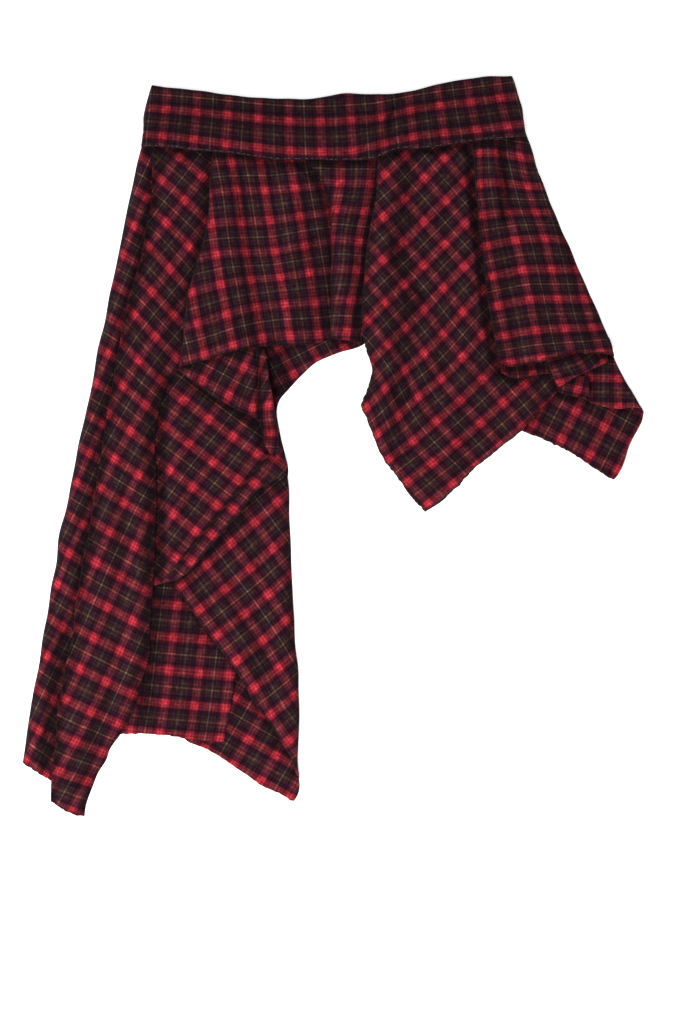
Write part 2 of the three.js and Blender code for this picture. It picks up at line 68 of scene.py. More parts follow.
BOW_ROUNDING = 0.04  # share of the width over which a bow's corners are rounded off
PRESS_REACH = 8.0  # how far from a covering edge the cloth below is pressed down
PRESS_GAIN = 2  # cloth lies flat where half of what is around it is covered
SETTLING = 150  # rounds in which a piece eases over the steps below it
LEAST_LIFT = 0.01  # marks the cells of a piece that lies flat
LEAST_COVER = 0.05  # least share of covered cells that a mean height is divided by
SEAM_LINES = 20  # grid lines inside an edge within which a seam is followed
TINY = 1e-9  # keeps a length from being 0

BODY = "root"

Columns = dict[str, np.ndarray]


# ---------------------------------------------------------------- tables and curves


def table(names: str, rows: Iterable[Sequence[float]]) -> Columns:
    """Reads rows of numbers as named columns.

    Args:
        names: The columns' names, with a space between them.
        rows: One sequence of numbers for each row.

    Returns:
        The columns by name.
    """
    values = np.array(list(rows), dtype=float).reshape(-1, len(names.split()))
    return {name: values[:, i] for i, name in enumerate(names.split())}


def sections(*rows: Sequence[float]) -> Columns:
    """Returns a cutting table: both ends of each line across a piece."""
    return table("ax ay bx by", rows)


def folds(*rows: Sequence[float]) -> Columns:
    """Returns a table of folds: the line that each follows, its width and its height."""
    return table("x1 y1 x2 y2 width height", rows)


def bows(*rows: Sequence[float]) -> Columns:
    """Returns a table of pushes along a piece, at shares of the way across it."""
    return table("across push", rows)


def smooth_curve(points: np.ndarray, t: np.ndarray) -> np.ndarray:
    """Finds places on the centripetal curve through a row of points.

    Args:
        points: The points, one in each row.
        t: Places from 0, the first point, to 1, the last.

    Returns:
        One point in each row.
    """
    spans = len(points) - 1
    ends = (2 * points[:1] - points[1:2], 2 * points[-1:] - points[-2:-1])
    padded = np.vstack([ends[0], points, ends[1]])
    place = np.clip(t, 0, 1) * spans
    span = np.minimum(place.astype(int), spans - 1)
    share = (place - span)[:, None]
    p0, p1, p2, p3 = (padded[span + k] for k in range(4))

    def gap(a: np.ndarray, b: np.ndarray) -> np.ndarray:
        """Returns the curve's own spacing between two points."""
        least = 1e-4  # where two points lie on each other
        return np.maximum(np.sum((b - a) ** 2, axis=1, keepdims=True) ** 0.25, least)

    d0, d1, d2 = gap(p0, p1), gap(p1, p2), gap(p2, p3)
    start = ((p1 - p0) / d0 - (p2 - p0) / (d0 + d1) + (p2 - p1) / d1) * d1
    end = ((p2 - p1) / d1 - (p3 - p1) / (d1 + d2) + (p3 - p2) / d2) * d1
    square, cube = -3 * p1 + 3 * p2 - 2 * start - end, 2 * p1 - 2 * p2 + start + end
    return p1 + start * share + square * share**2 + cube * share**3


def eased(rows: Columns, across: np.ndarray) -> np.ndarray:
    """Reads a table of bows with its corners rounded off.

    Args:
        rows: The table, which may be empty.
        across: Shares of the way across the piece.

    Returns:
        The push at each share.
    """
    if len(rows["across"]) == 0:
        return np.zeros_like(across)
    rounding = np.linspace(-BOW_ROUNDING, BOW_ROUNDING, 9)  # read at nine places
    return np.mean([np.interp(across + r, rows["across"], rows["push"]) for r in rounding], axis=0)


class Ripples:
    """Smooth uneven waves over the table, the same on each run."""

    WAVES = 14  # how many are added up
    LENGTHS = (0.6, 1.7)  # the shortest and the longest, as shares of the middle one
    PEAK = 1.6  # about how high they add up, where they would be 1 high on average

    def __init__(self, seed: int, wavelength: float) -> None:
        """Draws the waves.

        Args:
            seed: Start of the random numbers.
            wavelength: Middle length of the waves.
        """
        draw = np.random.default_rng(seed)
        heading = draw.uniform(0, 2 * math.pi, self.WAVES)
        count = 2 * math.pi / (wavelength * draw.uniform(*self.LENGTHS, self.WAVES))
        self.x_count, self.y_count = count * np.cos(heading), count * np.sin(heading)
        self.start = draw.uniform(0, 2 * math.pi, self.WAVES)

    def at(self, x: np.ndarray, y: np.ndarray) -> np.ndarray:
        """Returns the height of the waves, mostly between -1 and 1."""
        angles = x[..., None] * self.x_count + y[..., None] * self.y_count + self.start
        return np.cos(angles).sum(axis=-1) * math.sqrt(2 / self.WAVES) / self.PEAK


PLAN_WAVER = (Ripples(11, 42), Ripples(12, 42))  # how the cut lines waver, along x and y
WAVER = 0.7
SURFACE = Ripples(21, 30)  # shallow unevenness of cloth that isn't pressed
SURFACE_HEIGHT = 0.5
CRUMPLE = Ripples(22, 12)  # finer unevenness on top of it
CRUMPLE_HEIGHT = 0.07
FRAY = Ripples(31, 5.5)  # raggedness of a cut edge
FRAY_LINES = 6  # grid lines inside an edge that move with its fray
FRAY_REACH = 4.0  # how far inside the edge the fray fades out


# ---------------------------------------------------------------- maps of the table


class TableMap:
    """One number for each cell of the layout table."""

    def __init__(self) -> None:
        """Starts with zero in each cell."""
        self.values = np.zeros((int(TABLE[1] / CELL) + 1, int(TABLE[0] / CELL) + 1))

    def at(self, x: np.ndarray, y: np.ndarray) -> np.ndarray:
        """Returns the values of the cells that hold the points."""
        return self.values[(y / CELL).astype(int), (x / CELL).astype(int)]

    def lay(self, x: np.ndarray, y: np.ndarray, z: np.ndarray) -> None:
        """Raises the cells under a grid of points, and those beside them."""
        self.values = np.maximum(self.values, self._spread(x, y, z))

    def cover(self, x: np.ndarray, y: np.ndarray, z: np.ndarray) -> None:
        """Gives the cells under a grid of points its values, which are above 0."""
        fresh = self._spread(x, y, z)
        self.values = np.where(fresh > 0, fresh, self.values)

    def _spread(self, x: np.ndarray, y: np.ndarray, z: np.ndarray) -> np.ndarray:
        """Finds the cells under a grid of points.

        Args:
            x: The grid's places to the right.
            y: The grid's places down the table.
            z: The value at each point.

        Returns:
            The highest value of each cell and those beside it, and 0 elsewhere.
        """
        fresh = np.zeros_like(self.values)
        shares = np.linspace(0, 1, FACE_POINTS)
        for i in shares:
            for j in shares:
                px, py, pz = (self._between(grid, i, j) for grid in (x, y, z))
                cells = ((py / CELL).astype(int).ravel(), (px / CELL).astype(int).ravel())
                np.maximum.at(fresh, cells, pz.ravel())
        return widened(fresh, 1)

    @staticmethod
    def _between(grid: np.ndarray, i: float, j: float) -> np.ndarray:
        """Reads a grid between its points.

        Args:
            grid: The values at the points.
            i: Share of the way from each row to the next.
            j: Share of the way from each column to the next.

        Returns:
            One value for each face of the grid.
        """
        upper = grid[:-1, :-1] * (1 - j) + grid[:-1, 1:] * j
        lower = grid[1:, :-1] * (1 - j) + grid[1:, 1:] * j
        return upper * (1 - i) + lower * i

    def averaged(self, reach: float) -> "TableMap":
        """Averages the map over a square around each cell.

        Args:
            reach: How far the square reaches each way, in millimetres.

        Returns:
            The averaged map.
        """
        result = TableMap()
        cells = round(reach / CELL)
        kernel = np.ones(2 * cells + 1) / (2 * cells + 1)
        rows = np.apply_along_axis(np.convolve, 1, self.values, kernel, "same")
        result.values = np.apply_along_axis(np.convolve, 0, rows, kernel, "same")
        return result


def widened(values: np.ndarray, cells: int) -> np.ndarray:
    """Widens what is on a map.

    Args:
        values: The map's values.
        cells: How many cells wider it becomes on each side.

    Returns:
        The highest value within that many cells of each cell.
    """
    for axis in (0, 1):
        shifted = [np.roll(values, k, axis) for k in range(-cells, cells + 1)]
        values = np.maximum.reduce(shifted)
    return values


# ---------------------------------------------------------------- grain


class Grain:
    """A pin says which crossing of the red stripes lies at a place: strong counts the stripes that
    are woven brighter, and weak the others. Between the pins the grain bends as little as it can.
    """

    UNIT = 100.0  # millimetres in the unit of the fit
    SLACK = 0.0006  # how far the grain may pass its pins, to bend less
    TUCK_WIDTH = 1.2  # millimetres over which a tuck's hidden cloth is passed

    def __init__(self, *pins: Sequence[float], tuck: Sequence[float] | None = None) -> None:
        """Fits the grain to its pins.

        Args:
            *pins: Rows of x, y, strong and weak.
            tuck: A fold that hides cloth: x and y of both its ends, and the counts that it
                hides. They are added on its lower side, where it runs to the right.
        """
        self.tuck = tuck
        rows = np.array(pins, dtype=float)
        self.places = rows[:, :2] / self.UNIT
        count = len(rows)
        flat = np.column_stack([np.ones(count), self.places])
        bend = self._bend(self.places) + self.SLACK * np.eye(count)
        system = np.block([[bend, flat], [flat.T, np.zeros((3, 3))]])
        self.weights = np.linalg.solve(system, np.vstack([rows[:, 2:], np.zeros((3, 2))]))

    def _bend(self, places: np.ndarray) -> np.ndarray:
        """Returns the pull of each pin on each place."""
        apart = np.linalg.norm(places[:, None] - self.places[None], axis=2)
        return apart**2 * np.log(np.maximum(apart, TINY))

    def at(self, x: np.ndarray, y: np.ndarray) -> np.ndarray:
        """Counts the stripes.

        Args:
            x: Places to the right.
            y: Places down the table.

        Returns:
            The strong and the weak count at each point, as two columns.
        """
        places = np.column_stack([x.ravel(), y.ravel()]) / self.UNIT
        flat = np.column_stack([np.ones(len(places)), places])
        counts = np.column_stack([self._bend(places), flat]) @ self.weights
        if self.tuck is None:
            return counts
        x1, y1, x2, y2, *hidden = self.tuck
        run, fall = x2 - x1, y2 - y1
        beyond = ((y.ravel() - y1) * run - (x.ravel() - x1) * fall) / math.hypot(run, fall)
        past = np.clip(0.5 + beyond / self.TUCK_WIDTH, 0, 1)
        return counts + past[:, None] * np.array(hidden)


def straight_grain(
    at: tuple[float, float], strong: tuple[float, float], weak: tuple[float, float]
) -> Grain:
    """Lays the checks evenly.

    Args:
        at: A crossing of two red stripes.
        strong: The way from it to the next strong stripe.
        weak: The way from it to the next weak stripe.

    Returns:
        The grain.
    """
    return Grain(
        (at[0], at[1], 0, 0),
        (at[0] + strong[0], at[1] + strong[1], 1, 0),
        (at[0] + weak[0], at[1] + weak[1], 0, 1),
    )


# ---------------------------------------------------------------- one piece of cloth


class Held(Enum):
    """How a piece of cloth is held."""

    LAID = "laid"
    FOLDED = "folded"


class Edge(Enum):
    """The four edges of a piece's cutting table."""

    A = "a"
    B = "b"
    TOP = "top"
    HEM = "hem"


@dataclass(frozen=True)
class Roll:
    """How a folded edge curves down: over what width, and round or, where soft, sloping."""

    width: float = 0.0
    soft: bool = False

    def heights(self, shares: np.ndarray) -> np.ndarray:
        """Returns the height at shares of the width in from the edge, from 0 to 1."""
        return shares**2 * (3 - 2 * shares) if self.soft else np.sqrt(1 - (1 - shares) ** 2)


CUT = Roll()  # an edge that isn't folded


def stations(
    length: float, start_roll: Roll, end_roll: Roll, inner: int
) -> tuple[np.ndarray, np.ndarray]:
    """Spaces columns or rows over a stretch whose ends may curve down.

    Args:
        length: The stretch's length.
        start_roll: The curve at its start.
        end_roll: The curve at its end.
        inner: Number of even steps between the curves.

    Returns:
        The places, and how far each stands up from the edge, from 0 to 1.
    """
    start, end = (min(roll.width, MOST_ROLL * length) for roll in (start_roll, end_roll))
    shares = np.array(ROLL_SHARES)
    places, rolls = [np.linspace(start, length - end, inner + 1)], [np.ones(inner + 1)]
    if start:
        places.insert(0, shares * start)
        rolls.insert(0, start_roll.heights(shares))
    if end:
        places.append(length - shares[::-1] * end)
        rolls.append(end_roll.heights(shares)[::-1])
    return np.concatenate(places), np.concatenate(rolls)


def fold_height(rows: Columns, x: np.ndarray, y: np.ndarray) -> np.ndarray:
    """Adds up the folds of a table.

    Args:
        rows: The folds: soft ridges, or troughs where the height is negative.
        x: Places to the right.
        y: Places down the table.

    Returns:
        The height that they add at each place.
    """
    total = np.zeros_like(x)
    for x1, y1, x2, y2, width, height in zip(*rows.values()):
        line = np.array([x2 - x1, y2 - y1])
        share = np.clip(((x - x1) * line[0] + (y - y1) * line[1]) / (line @ line), 0, 1)
        away = np.hypot(x - x1 - share * line[0], y - y1 - share * line[1]) / (width / 2)
        total += height * np.clip(1 - away**2, 0, 1) ** 2
    return total


def mesh_object(
    name: str, points: np.ndarray, faces: Sequence[Sequence[int]], suffix: str = ""
) -> bpy.types.Object:
    """Makes a smooth object of a mesh.

    Args:
        name: The mesh's name.
        points: Its points, in layout millimetres, with z up.
        faces: The points of each face, by number.
        suffix: What the object's name adds to the mesh's.

    Returns:
        The object, in metres.
    """
    x, y = points[:, 0] - LAYOUT_CENTRE[0], LAYOUT_CENTRE[1] - points[:, 1]
    mesh = bpy.data.meshes.new(name)
    mesh.from_pydata((np.column_stack([x, y, points[:, 2]]) * MM).tolist(), [], faces)
    mesh.polygons.foreach_set("use_smooth", np.ones(len(faces), dtype=bool))
    thing = bpy.data.objects.new(name + suffix, mesh)
    bpy.context.scene.collection.objects.link(thing)
    return thing


@dataclass
class ClothPiece:
    """One cut piece of cloth, laid on those below it.

    rows is its cutting table and grain says how its checks lie. roll holds the curve of each
    folded edge, and fray how ragged an edge is. loft is how high the piece stands off the cloth
    below, away from its edges, and creases are its folds. The bows curve its top and its hem.
    x, y and z are the grid of its underside. stand is how far each point stands up between the
    edges, pressed how far the pieces on top press it down, both from 0 to 1, and lift how far
    it stands off what it lies on.
    """

    name: str
    rows: Columns
    grain: Grain
    rests_on: tuple[str, ...] = ()
    roll: dict[Edge, Roll] = field(default_factory=dict)
    fray: dict[Edge, float] = field(default_factory=dict)
    loft: float = 0.0
    creases: Columns = field(default_factory=folds)
    top_bow: Columns = field(default_factory=bows)
    hem_bow: Columns = field(default_factory=bows)
    cloth: float = CLOTH
    held: Held = Held.LAID
    step: float = STEP
    width: float = field(init=False)
    length: float = field(init=False)
    x: np.ndarray = field(init=False, repr=False)
    y: np.ndarray = field(init=False, repr=False)
    z: np.ndarray = field(init=False, repr=False)
    stand: np.ndarray = field(init=False, repr=False)
    pressed: np.ndarray = field(init=False, repr=False)
    lift: np.ndarray = field(init=False, repr=False)

    def __post_init__(self) -> None:
        """Works out the plan of the piece."""
        edge_a = np.column_stack([self.rows["ax"], self.rows["ay"]])
        edge_b = np.column_stack([self.rows["bx"], self.rows["by"]])
        self.width = float(np.max(np.linalg.norm(edge_b - edge_a, axis=1)))
        steps = np.linspace(0, 1, CURVE_STEPS * len(edge_a) + 1)
        middle = (smooth_curve(edge_a, steps) + smooth_curve(edge_b, steps)) / 2
        lengths = np.concatenate([[0], np.cumsum(np.linalg.norm(np.diff(middle, axis=0), axis=1))])
        self.length = float(lengths[-1])
        rows = max(LEAST_STEPS, round(self.length / self.step))
        places, row_roll = stations(
            self.length, self.roll.get(Edge.TOP, CUT), self.roll.get(Edge.HEM, CUT), rows
        )
        t = np.interp(places, lengths, steps)
        a, b = smooth_curve(edge_a, t), smooth_curve(edge_b, t)
        heading = self._headings(edge_a, t) + self._headings(edge_b, t)
        heading /= np.linalg.norm(heading, axis=1, keepdims=True)
        columns = max(LEAST_STEPS, round(self.width / self.step))
        across, rolls = [], []
        for wide in np.linalg.norm(b - a, axis=1):
            at, roll = stations(
                float(wide), self.roll.get(Edge.A, CUT), self.roll.get(Edge.B, CUT), columns
            )
            across.append(at / wide)
            rolls.append(roll)
        share = np.array(across)
        self.stand = np.array(rolls) * row_roll[:, None]
        push = self._push(share, places[:, None])
        self.x = a[:, :1] + (b - a)[:, :1] * share + heading[:, :1] * push
        self.y = a[:, 1:] + (b - a)[:, 1:] * share + heading[:, 1:] * push
        self._waver()

    @staticmethod
    def _headings(edge: np.ndarray, t: np.ndarray) -> np.ndarray:
        """Finds the directions in which an edge runs.

        Args:
            edge: The edge's points in the cutting table.
            t: Places along it, from 0 to 1.

        Returns:
            One direction of length 1 for each place.
        """
        small = 1e-4
        ahead = smooth_curve(edge, t + small) - smooth_curve(edge, t - small)
        return ahead / np.linalg.norm(ahead, axis=1, keepdims=True)

    def _push(self, share: np.ndarray, place: np.ndarray) -> np.ndarray:
        """Adds up the curves of both ends.

        Args:
            share: How far across the piece each point is, from 0 to 1.
            place: How far along it each row is, in millimetres.

        Returns:
            How far each point is pushed along the piece.
        """
        from_hem = self.length - place
        top = eased(self.top_bow, share) * np.clip(1 - place / BOW_REACH, 0, 1) ** 2
        hem = eased(self.hem_bow, share) * np.clip(1 - from_hem / BOW_REACH, 0, 1) ** 2
        return top + hem

    def _waver(self) -> None:
        """Makes the cut lines a little uneven, and ragged where the piece says so."""
        shift_x, shift_y = (WAVER * ripples.at(self.x, self.y) for ripples in PLAN_WAVER)
        self.x, self.y = self.x + shift_x, self.y + shift_y
        for edge, amount in self.fray.items():
            outer, inner = self._line(edge, 0), self._line(edge, FRAY_LINES)
            edge_x, edge_y = self.x[outer].copy(), self.y[outer].copy()
            out_x, out_y = edge_x - self.x[inner], edge_y - self.y[inner]
            shift = amount * FRAY.at(edge_x, edge_y) / np.maximum(np.hypot(out_x, out_y), TINY)
            for k in range(FRAY_LINES):
                line = self._line(edge, k)
                away = np.hypot(self.x[line] - edge_x, self.y[line] - edge_y)
                share = shift * np.clip(1 - away / FRAY_REACH, 0, 1)
                self.x[line] += share * out_x
                self.y[line] += share * out_y

    @staticmethod
    def _line(edge: Edge, inwards: int) -> tuple[int | slice, int | slice]:
        """Finds a line of the grid.

        Args:
            edge: The edge that it runs along.
            inwards: How many lines inside the edge it lies.

        Returns:
            The line's index in the grid.
        """
        every = slice(None)
        return {
            Edge.A: (every, inwards),
            Edge.B: (every, -1 - inwards),
            Edge.TOP: (inwards, every),
            Edge.HEM: (-1 - inwards, every),
        }[edge]

    def press_below(self, covers: TableMap) -> None:
        """Notes how far the pieces on top press each point down, then covers those below."""
        self.pressed = np.minimum(1, PRESS_GAIN * covers.averaged(PRESS_REACH).at(self.x, self.y))
        covers.lay(self.x, self.y, np.ones_like(self.x))

    def lay_on(self, laid: TableMap) -> None:
        """Finds the height of the underside, and adds the piece to what is laid.

        Args:
            laid: The height of the cloth that is laid already.
        """
        below = TableMap()
        below.values = widened(laid.values, math.ceil(self.step / CELL))
        under = below.at(self.x, self.y)
        support = np.where(under > 0, under + LAYING_GAP, 0)
        base = support.copy()
        for _ in range(SETTLING):
            mean = (base[:-2, 1:-1] + base[2:, 1:-1] + base[1:-1, :-2] + base[1:-1, 2:]) / 4
            base[1:-1, 1:-1] = np.maximum(support[1:-1, 1:-1], mean)
        self.lift = self._folded() if self.loft else np.zeros_like(base)
        self.z = base + self.lift
        laid.lay(self.x, self.y, self.z + self.cloth)

    def _folded(self) -> np.ndarray:
        """Adds up the piece's loft, folds and unevenness.

        Returns:
            How far they lift each point.
        """
        lift = np.maximum(0, self.loft + fold_height(self.creases, self.x, self.y))
        uneven = SURFACE_HEIGHT * (1 + SURFACE.at(self.x, self.y))
        crumpled = CRUMPLE_HEIGHT * (1 + CRUMPLE.at(self.x, self.y))
        return np.maximum(0, self.stand * (1 - self.pressed) * (lift + uneven + crumpled))

    def outline(self) -> np.ndarray:
        """Goes round the edge of the grid, starting along the top row.

        Returns:
            The indices of the points.
        """
        rows, columns = self.x.shape
        index = np.arange(rows * columns).reshape(rows, columns)
        sides = (index[0, :-1], index[:-1, -1], index[-1, :0:-1], index[:0:-1, 0])
        return np.concatenate(sides)

    def signed_area(self) -> float:
        """Measures the plan.

        Returns:
            Its area, positive where the rows run clockwise as seen from above.
        """
        ring = self.outline()
        x, y = self.x.ravel()[ring], self.y.ravel()[ring]
        return float(np.sum(x * np.roll(y, -1) - np.roll(x, -1) * y) / 2)

    def line_inside(self, edge: Edge, inset: float) -> np.ndarray:
        """Follows an edge on the upper side of the cloth.

        Args:
            edge: The edge.
            inset: How far inside it the line runs.

        Returns:
            Points of the line, in layout millimetres, with z up.
        """
        depth = min(len(self.x) if edge in (Edge.TOP, Edge.HEM) else len(self.x[0]), SEAM_LINES)
        top = np.dstack([self.x, self.y, self.z + self.cloth])
        points = np.array([top[self._line(edge, k)] for k in range(depth)])
        steps = np.linalg.norm(np.diff(points[:, :, :2], axis=0), axis=2)
        walked = np.vstack([np.zeros(points.shape[1]), np.cumsum(steps, axis=0)])
        line = [
            [np.interp(inset, walked[:, k], points[:, k, axis]) for axis in range(3)]
            for k in range(points.shape[1])
        ]
        return np.array(line)

    def shell(self, rubbed: np.ndarray) -> bpy.types.Object:
        """Makes the closed thin wall of the piece, with a rounded cut edge.

        Args:
            rubbed: Painted shade and painted light at each point, from 0 to 1: low in hollows and
                beside higher cloth, high where it stands out.

        Returns:
            The object, with the checks as its map and the painted shade and light as an attribute.
        """
        x, y, z = self.x.ravel(), self.y.ravel(), self.z.ravel()
        ring = self.outline()
        turn = 1 if self.signed_area() > 0 else -1
        ahead_x = np.roll(x[ring], -1) - np.roll(x[ring], 1)
        ahead_y = np.roll(y[ring], -1) - np.roll(y[ring], 1)
        length = np.maximum(np.hypot(ahead_x, ahead_y), TINY)
        bulge = RIM_BULGE * self.cloth * turn
        rim_x, rim_y = x[ring] + bulge * ahead_y / length, y[ring] - bulge * ahead_x / length
        upper = np.column_stack([x, y, z + self.cloth])
        rim = np.column_stack([rim_x, rim_y, z[ring] + self.cloth / 2])
        points = np.vstack([upper, np.column_stack([x, y, z]), rim])
        faces = self._faces(x.size, ring, turn)
        thing = mesh_object(self.name, points, faces.tolist(), "_cloth")
        mesh = thing.data
        checks = self.grain.at(x, y)
        checks = np.vstack([checks, checks, checks[ring]])
        corners = np.empty(len(mesh.loops), dtype=np.int32)
        mesh.loops.foreach_get("vertex_index", corners)
        layer = mesh.uv_layers.new(name="Checks")
        layer.uv.foreach_set("vector", checks[corners].astype(np.float32).ravel())
        # painted shade and painted light, kept as a point attribute for the material
        shade = np.concatenate([rubbed.ravel(), rubbed.ravel(), rubbed.ravel()[ring]])
        look = mesh.attributes.new("rubbed", "FLOAT", "POINT")
        look.data.foreach_set("value", shade.astype(np.float32))
        mesh.update()
        return thing

    def _faces(self, count: int, ring: np.ndarray, turn: int) -> np.ndarray:
        """Joins the upper side, the underside and the rim.

        Args:
            count: Number of points on one side.
            ring: The points round the edge.
            turn: 1 where the rows run clockwise as seen from above, otherwise -1.

        Returns:
            Four point indices for each face.
        """
        rows, columns = self.x.shape
        index = np.arange(count).reshape(rows, columns)
        upper = np.stack([index[:-1, :-1], index[1:, :-1], index[1:, 1:], index[:-1, 1:]], axis=-1)
        upper = upper.reshape(-1, 4)
        lower = upper[:, ::-1] + count
        middle = np.arange(len(ring)) + 2 * count
        following, middle_next = np.roll(ring, -1), np.roll(middle, -1)
        over = np.column_stack([ring, following, middle_next, middle])
        under = np.column_stack([middle, middle_next, following + count, ring + count])
        faces = np.vstack([upper, lower, over, under])
        return faces if turn > 0 else faces[:, ::-1]

    def dress(self, rubbed: np.ndarray, material: bpy.types.Material) -> bpy.types.Object:
        """Makes the piece's object, gives it its finish and hides the model's part of that name.

        Args:
            rubbed: Painted shade and painted light at each point, from 0 to 1.
            material: The cloth.

        Returns:
            The object.
        """
        thing = self.shell(rubbed)
        thing.data.materials.append(material)
        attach(thing, BODY)
        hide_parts(self.name)
        return thing

    def declare(self, thing: bpy.types.Object, with_pieces: Sequence[bpy.types.Object]) -> None:
        """Does nothing with the piece or its stitches.

        Args:
            thing: The piece's object; not used.
            with_pieces: The stitches on it; not used.
        """


# ---------------------------------------------------------------- shader nodes

Input = bpy.types.NodeSocket | float | tuple[float, ...]
Outputs = bpy.types.bpy_prop_collection

NUMBER = "NodeSocketFloat"
COLOUR = "NodeSocketColor"
VECTOR = "NodeSocketVector"


class Graph:
    """Adds nodes to a tree and joins them."""

    IN_A_ROW = 12  # nodes in each row of the tree
    SPACING = (190, -220)  # from node to node and from row to row

    def __init__(self, tree: bpy.types.NodeTree) -> None:
        """Starts on a tree without nodes."""
        self.tree = tree
        self.tree.nodes.clear()

    def node(
        self, kind: str, inputs: dict[str | int, Input] | None = None, **settings: object
    ) -> bpy.types.Node:
        """Adds a node.

        Args:
            kind: The node's type.
            inputs: Values or sockets for its inputs, by name or place.
            **settings: Its own options.

        Returns:
            The node.
        """
        made = self.tree.nodes.new(kind)
        row, place = divmod(len(self.tree.nodes), self.IN_A_ROW)
        made.location = (self.SPACING[0] * place, self.SPACING[1] * row)
        for name, value in settings.items():
            setattr(made, name, value)
        for key, value in (inputs or {}).items():
            self.feed(made.inputs[key], value)
        return made

    def feed(self, socket: bpy.types.NodeSocket, value: Input) -> None:
        """Links a socket to an input, or sets its value.

        Args:
            socket: The input.
            value: What feeds it.
        """
        if isinstance(value, bpy.types.NodeSocket):
            self.tree.links.new(value, socket)
        else:
            socket.default_value = value

    def math(self, operation: str, *values: Input) -> bpy.types.NodeSocket:
        """Returns the result of a sum on numbers."""
        return self.node("ShaderNodeMath", dict(enumerate(values)), operation=operation).outputs[0]

    def mix(self, factor: Input, a: Input, b: Input, blend: str = "MIX") -> bpy.types.NodeSocket:
        """Mixes two colours.

        Args:
            factor: How far the mix is from a to b, from 0 to 1.
            a: The first colour.
            b: The second colour.
            blend: The way in which b is put on a.

        Returns:
            The colour.
        """
        made = self.node("ShaderNodeMix", data_type="RGBA", blend_type=blend)
        colour_sockets = (made.inputs[0], made.inputs[6], made.inputs[7])
        for socket, value in zip(colour_sockets, (factor, a, b)):
            self.feed(socket, value)
        return made.outputs[2]

    def scaled(self, colour: Input, factor: Input) -> bpy.types.NodeSocket:
        """Returns a colour made lighter or darker by a factor."""
        grey = self.node("ShaderNodeCombineColor", {0: factor, 1: factor, 2: factor}).outputs[0]
        return self.mix(1.0, colour, grey, "MULTIPLY")

    def step(self, value: Input, low: Input, high: Input) -> bpy.types.NodeSocket:
        """Returns 0 below low and 1 above high, with a smooth rise between."""
        inputs = {"Value": value, "From Min": low, "From Max": high, "To Min": 0.0, "To Max": 1.0}
        return self.node("ShaderNodeMapRange", inputs, interpolation_type="SMOOTHSTEP").outputs[0]

    def noise(self, where: Input, scale: float, detail: float) -> bpy.types.NodeSocket:
        """Returns smooth noise from 0 to 1."""
        inputs = {"Vector": where, "Scale": scale, "Detail": detail}
        return self.node("ShaderNodeTexNoise", inputs).outputs["Fac"]

    def about_middle(self, value: Input, amount: Input, base: Input) -> bpy.types.NodeSocket:
        """Returns a base plus an amount of a value that is 0 in its middle, at 0.5."""
        return self.math("MULTIPLY_ADD", self.math("SUBTRACT", value, 0.5), amount, base)

    def bump(self, strength: float, height: Input, depth: float, **below: Input) -> Input:
        """Returns a normal that is bent by a height, on the normal below if there is one."""
        inputs = {"Height": height, "Distance": depth, "Strength": strength, **below}
        return self.node("ShaderNodeBump", inputs).outputs["Normal"]


def sockets(kind: str, *names: str) -> dict[str, str]:
    """Returns named sockets of one kind."""
    return dict.fromkeys(names, kind)


@dataclass(frozen=True)
class Effect:
    """A shader node group that any material can use.

    inputs and outputs give the kind of each socket by its name. fill adds the nodes from the
    group's inputs, and returns what feeds each output.
    """

    name: str
    inputs: dict[str, str]
    outputs: dict[str, str]
    fill: Callable[[Graph, Outputs], dict[str, Input]]

    def tree(self) -> bpy.types.NodeTree:
        """Makes the group once, and gives it back after that.

        Returns:
            The group.
        """
        if self.name in bpy.data.node_groups:
            return bpy.data.node_groups[self.name]
        tree = bpy.data.node_groups.new(self.name, "ShaderNodeTree")
        for kinds, side in ((self.inputs, "INPUT"), (self.outputs, "OUTPUT")):
            for name, kind in kinds.items():
                tree.interface.new_socket(name=name, in_out=side, socket_type=kind)
        graph = Graph(tree)
        start = graph.node("NodeGroupInput")
        graph.node("NodeGroupOutput", self.fill(graph, start.outputs))
        return tree

    def add_to(self, graph: Graph, inputs: dict[str, Input]) -> Outputs:
        """Places the group in a material, fed by name, and returns its outputs."""
        return graph.node("ShaderNodeGroup", inputs, node_tree=self.tree()).outputs


def fill_sett(graph: Graph, given: Outputs) -> dict[str, Input]:
    """Adds the stripes of one direction: red, navy, slate, olive ground and a fine line.

    Args:
        graph: The group's nodes.
        given: The group's inputs.

    Returns:
        What feeds each output.
    """
    phase = graph.math("FRACT", graph.math("ADD", given["Count"], 0.5))
    away = graph.math("ABSOLUTE", graph.math("SUBTRACT", phase, 0.5))
    soft = given["Softness"]

    def past(width: Input) -> bpy.types.NodeSocket:
        """Returns 1 outside a half width, with a soft edge."""
        low, high = graph.math("SUBTRACT", width, soft), graph.math("ADD", width, soft)
        return graph.step(away, low, high)

    colour = given["Ground"]
    for stripe in ("Slate", "Navy", "Red"):
        colour = graph.mix(past(given[f"{stripe} reach"]), given[stripe], colour)
    fine_start = graph.math("SUBTRACT", 0.5, graph.math("MULTIPLY", given["Line reach"], 2.0))
    return {"Colour": graph.mix(graph.step(away, fine_start, 0.5), colour, given["Line"])}


SETT = Effect(
    "Tartan sett",
    sockets(NUMBER, "Count")
    | sockets(COLOUR, "Red", "Navy", "Slate", "Ground", "Line")
    | sockets(NUMBER, "Red reach", "Navy reach", "Slate reach", "Line reach", "Softness"),
    sockets(COLOUR, "Colour"),
    fill_sett,
)

THREAD_EDGE = 0.7  # part of the twill's wave in which one thread gives way to the other
DIAGONAL_HEIGHT = 0.7
RIB_HEIGHT = 0.15


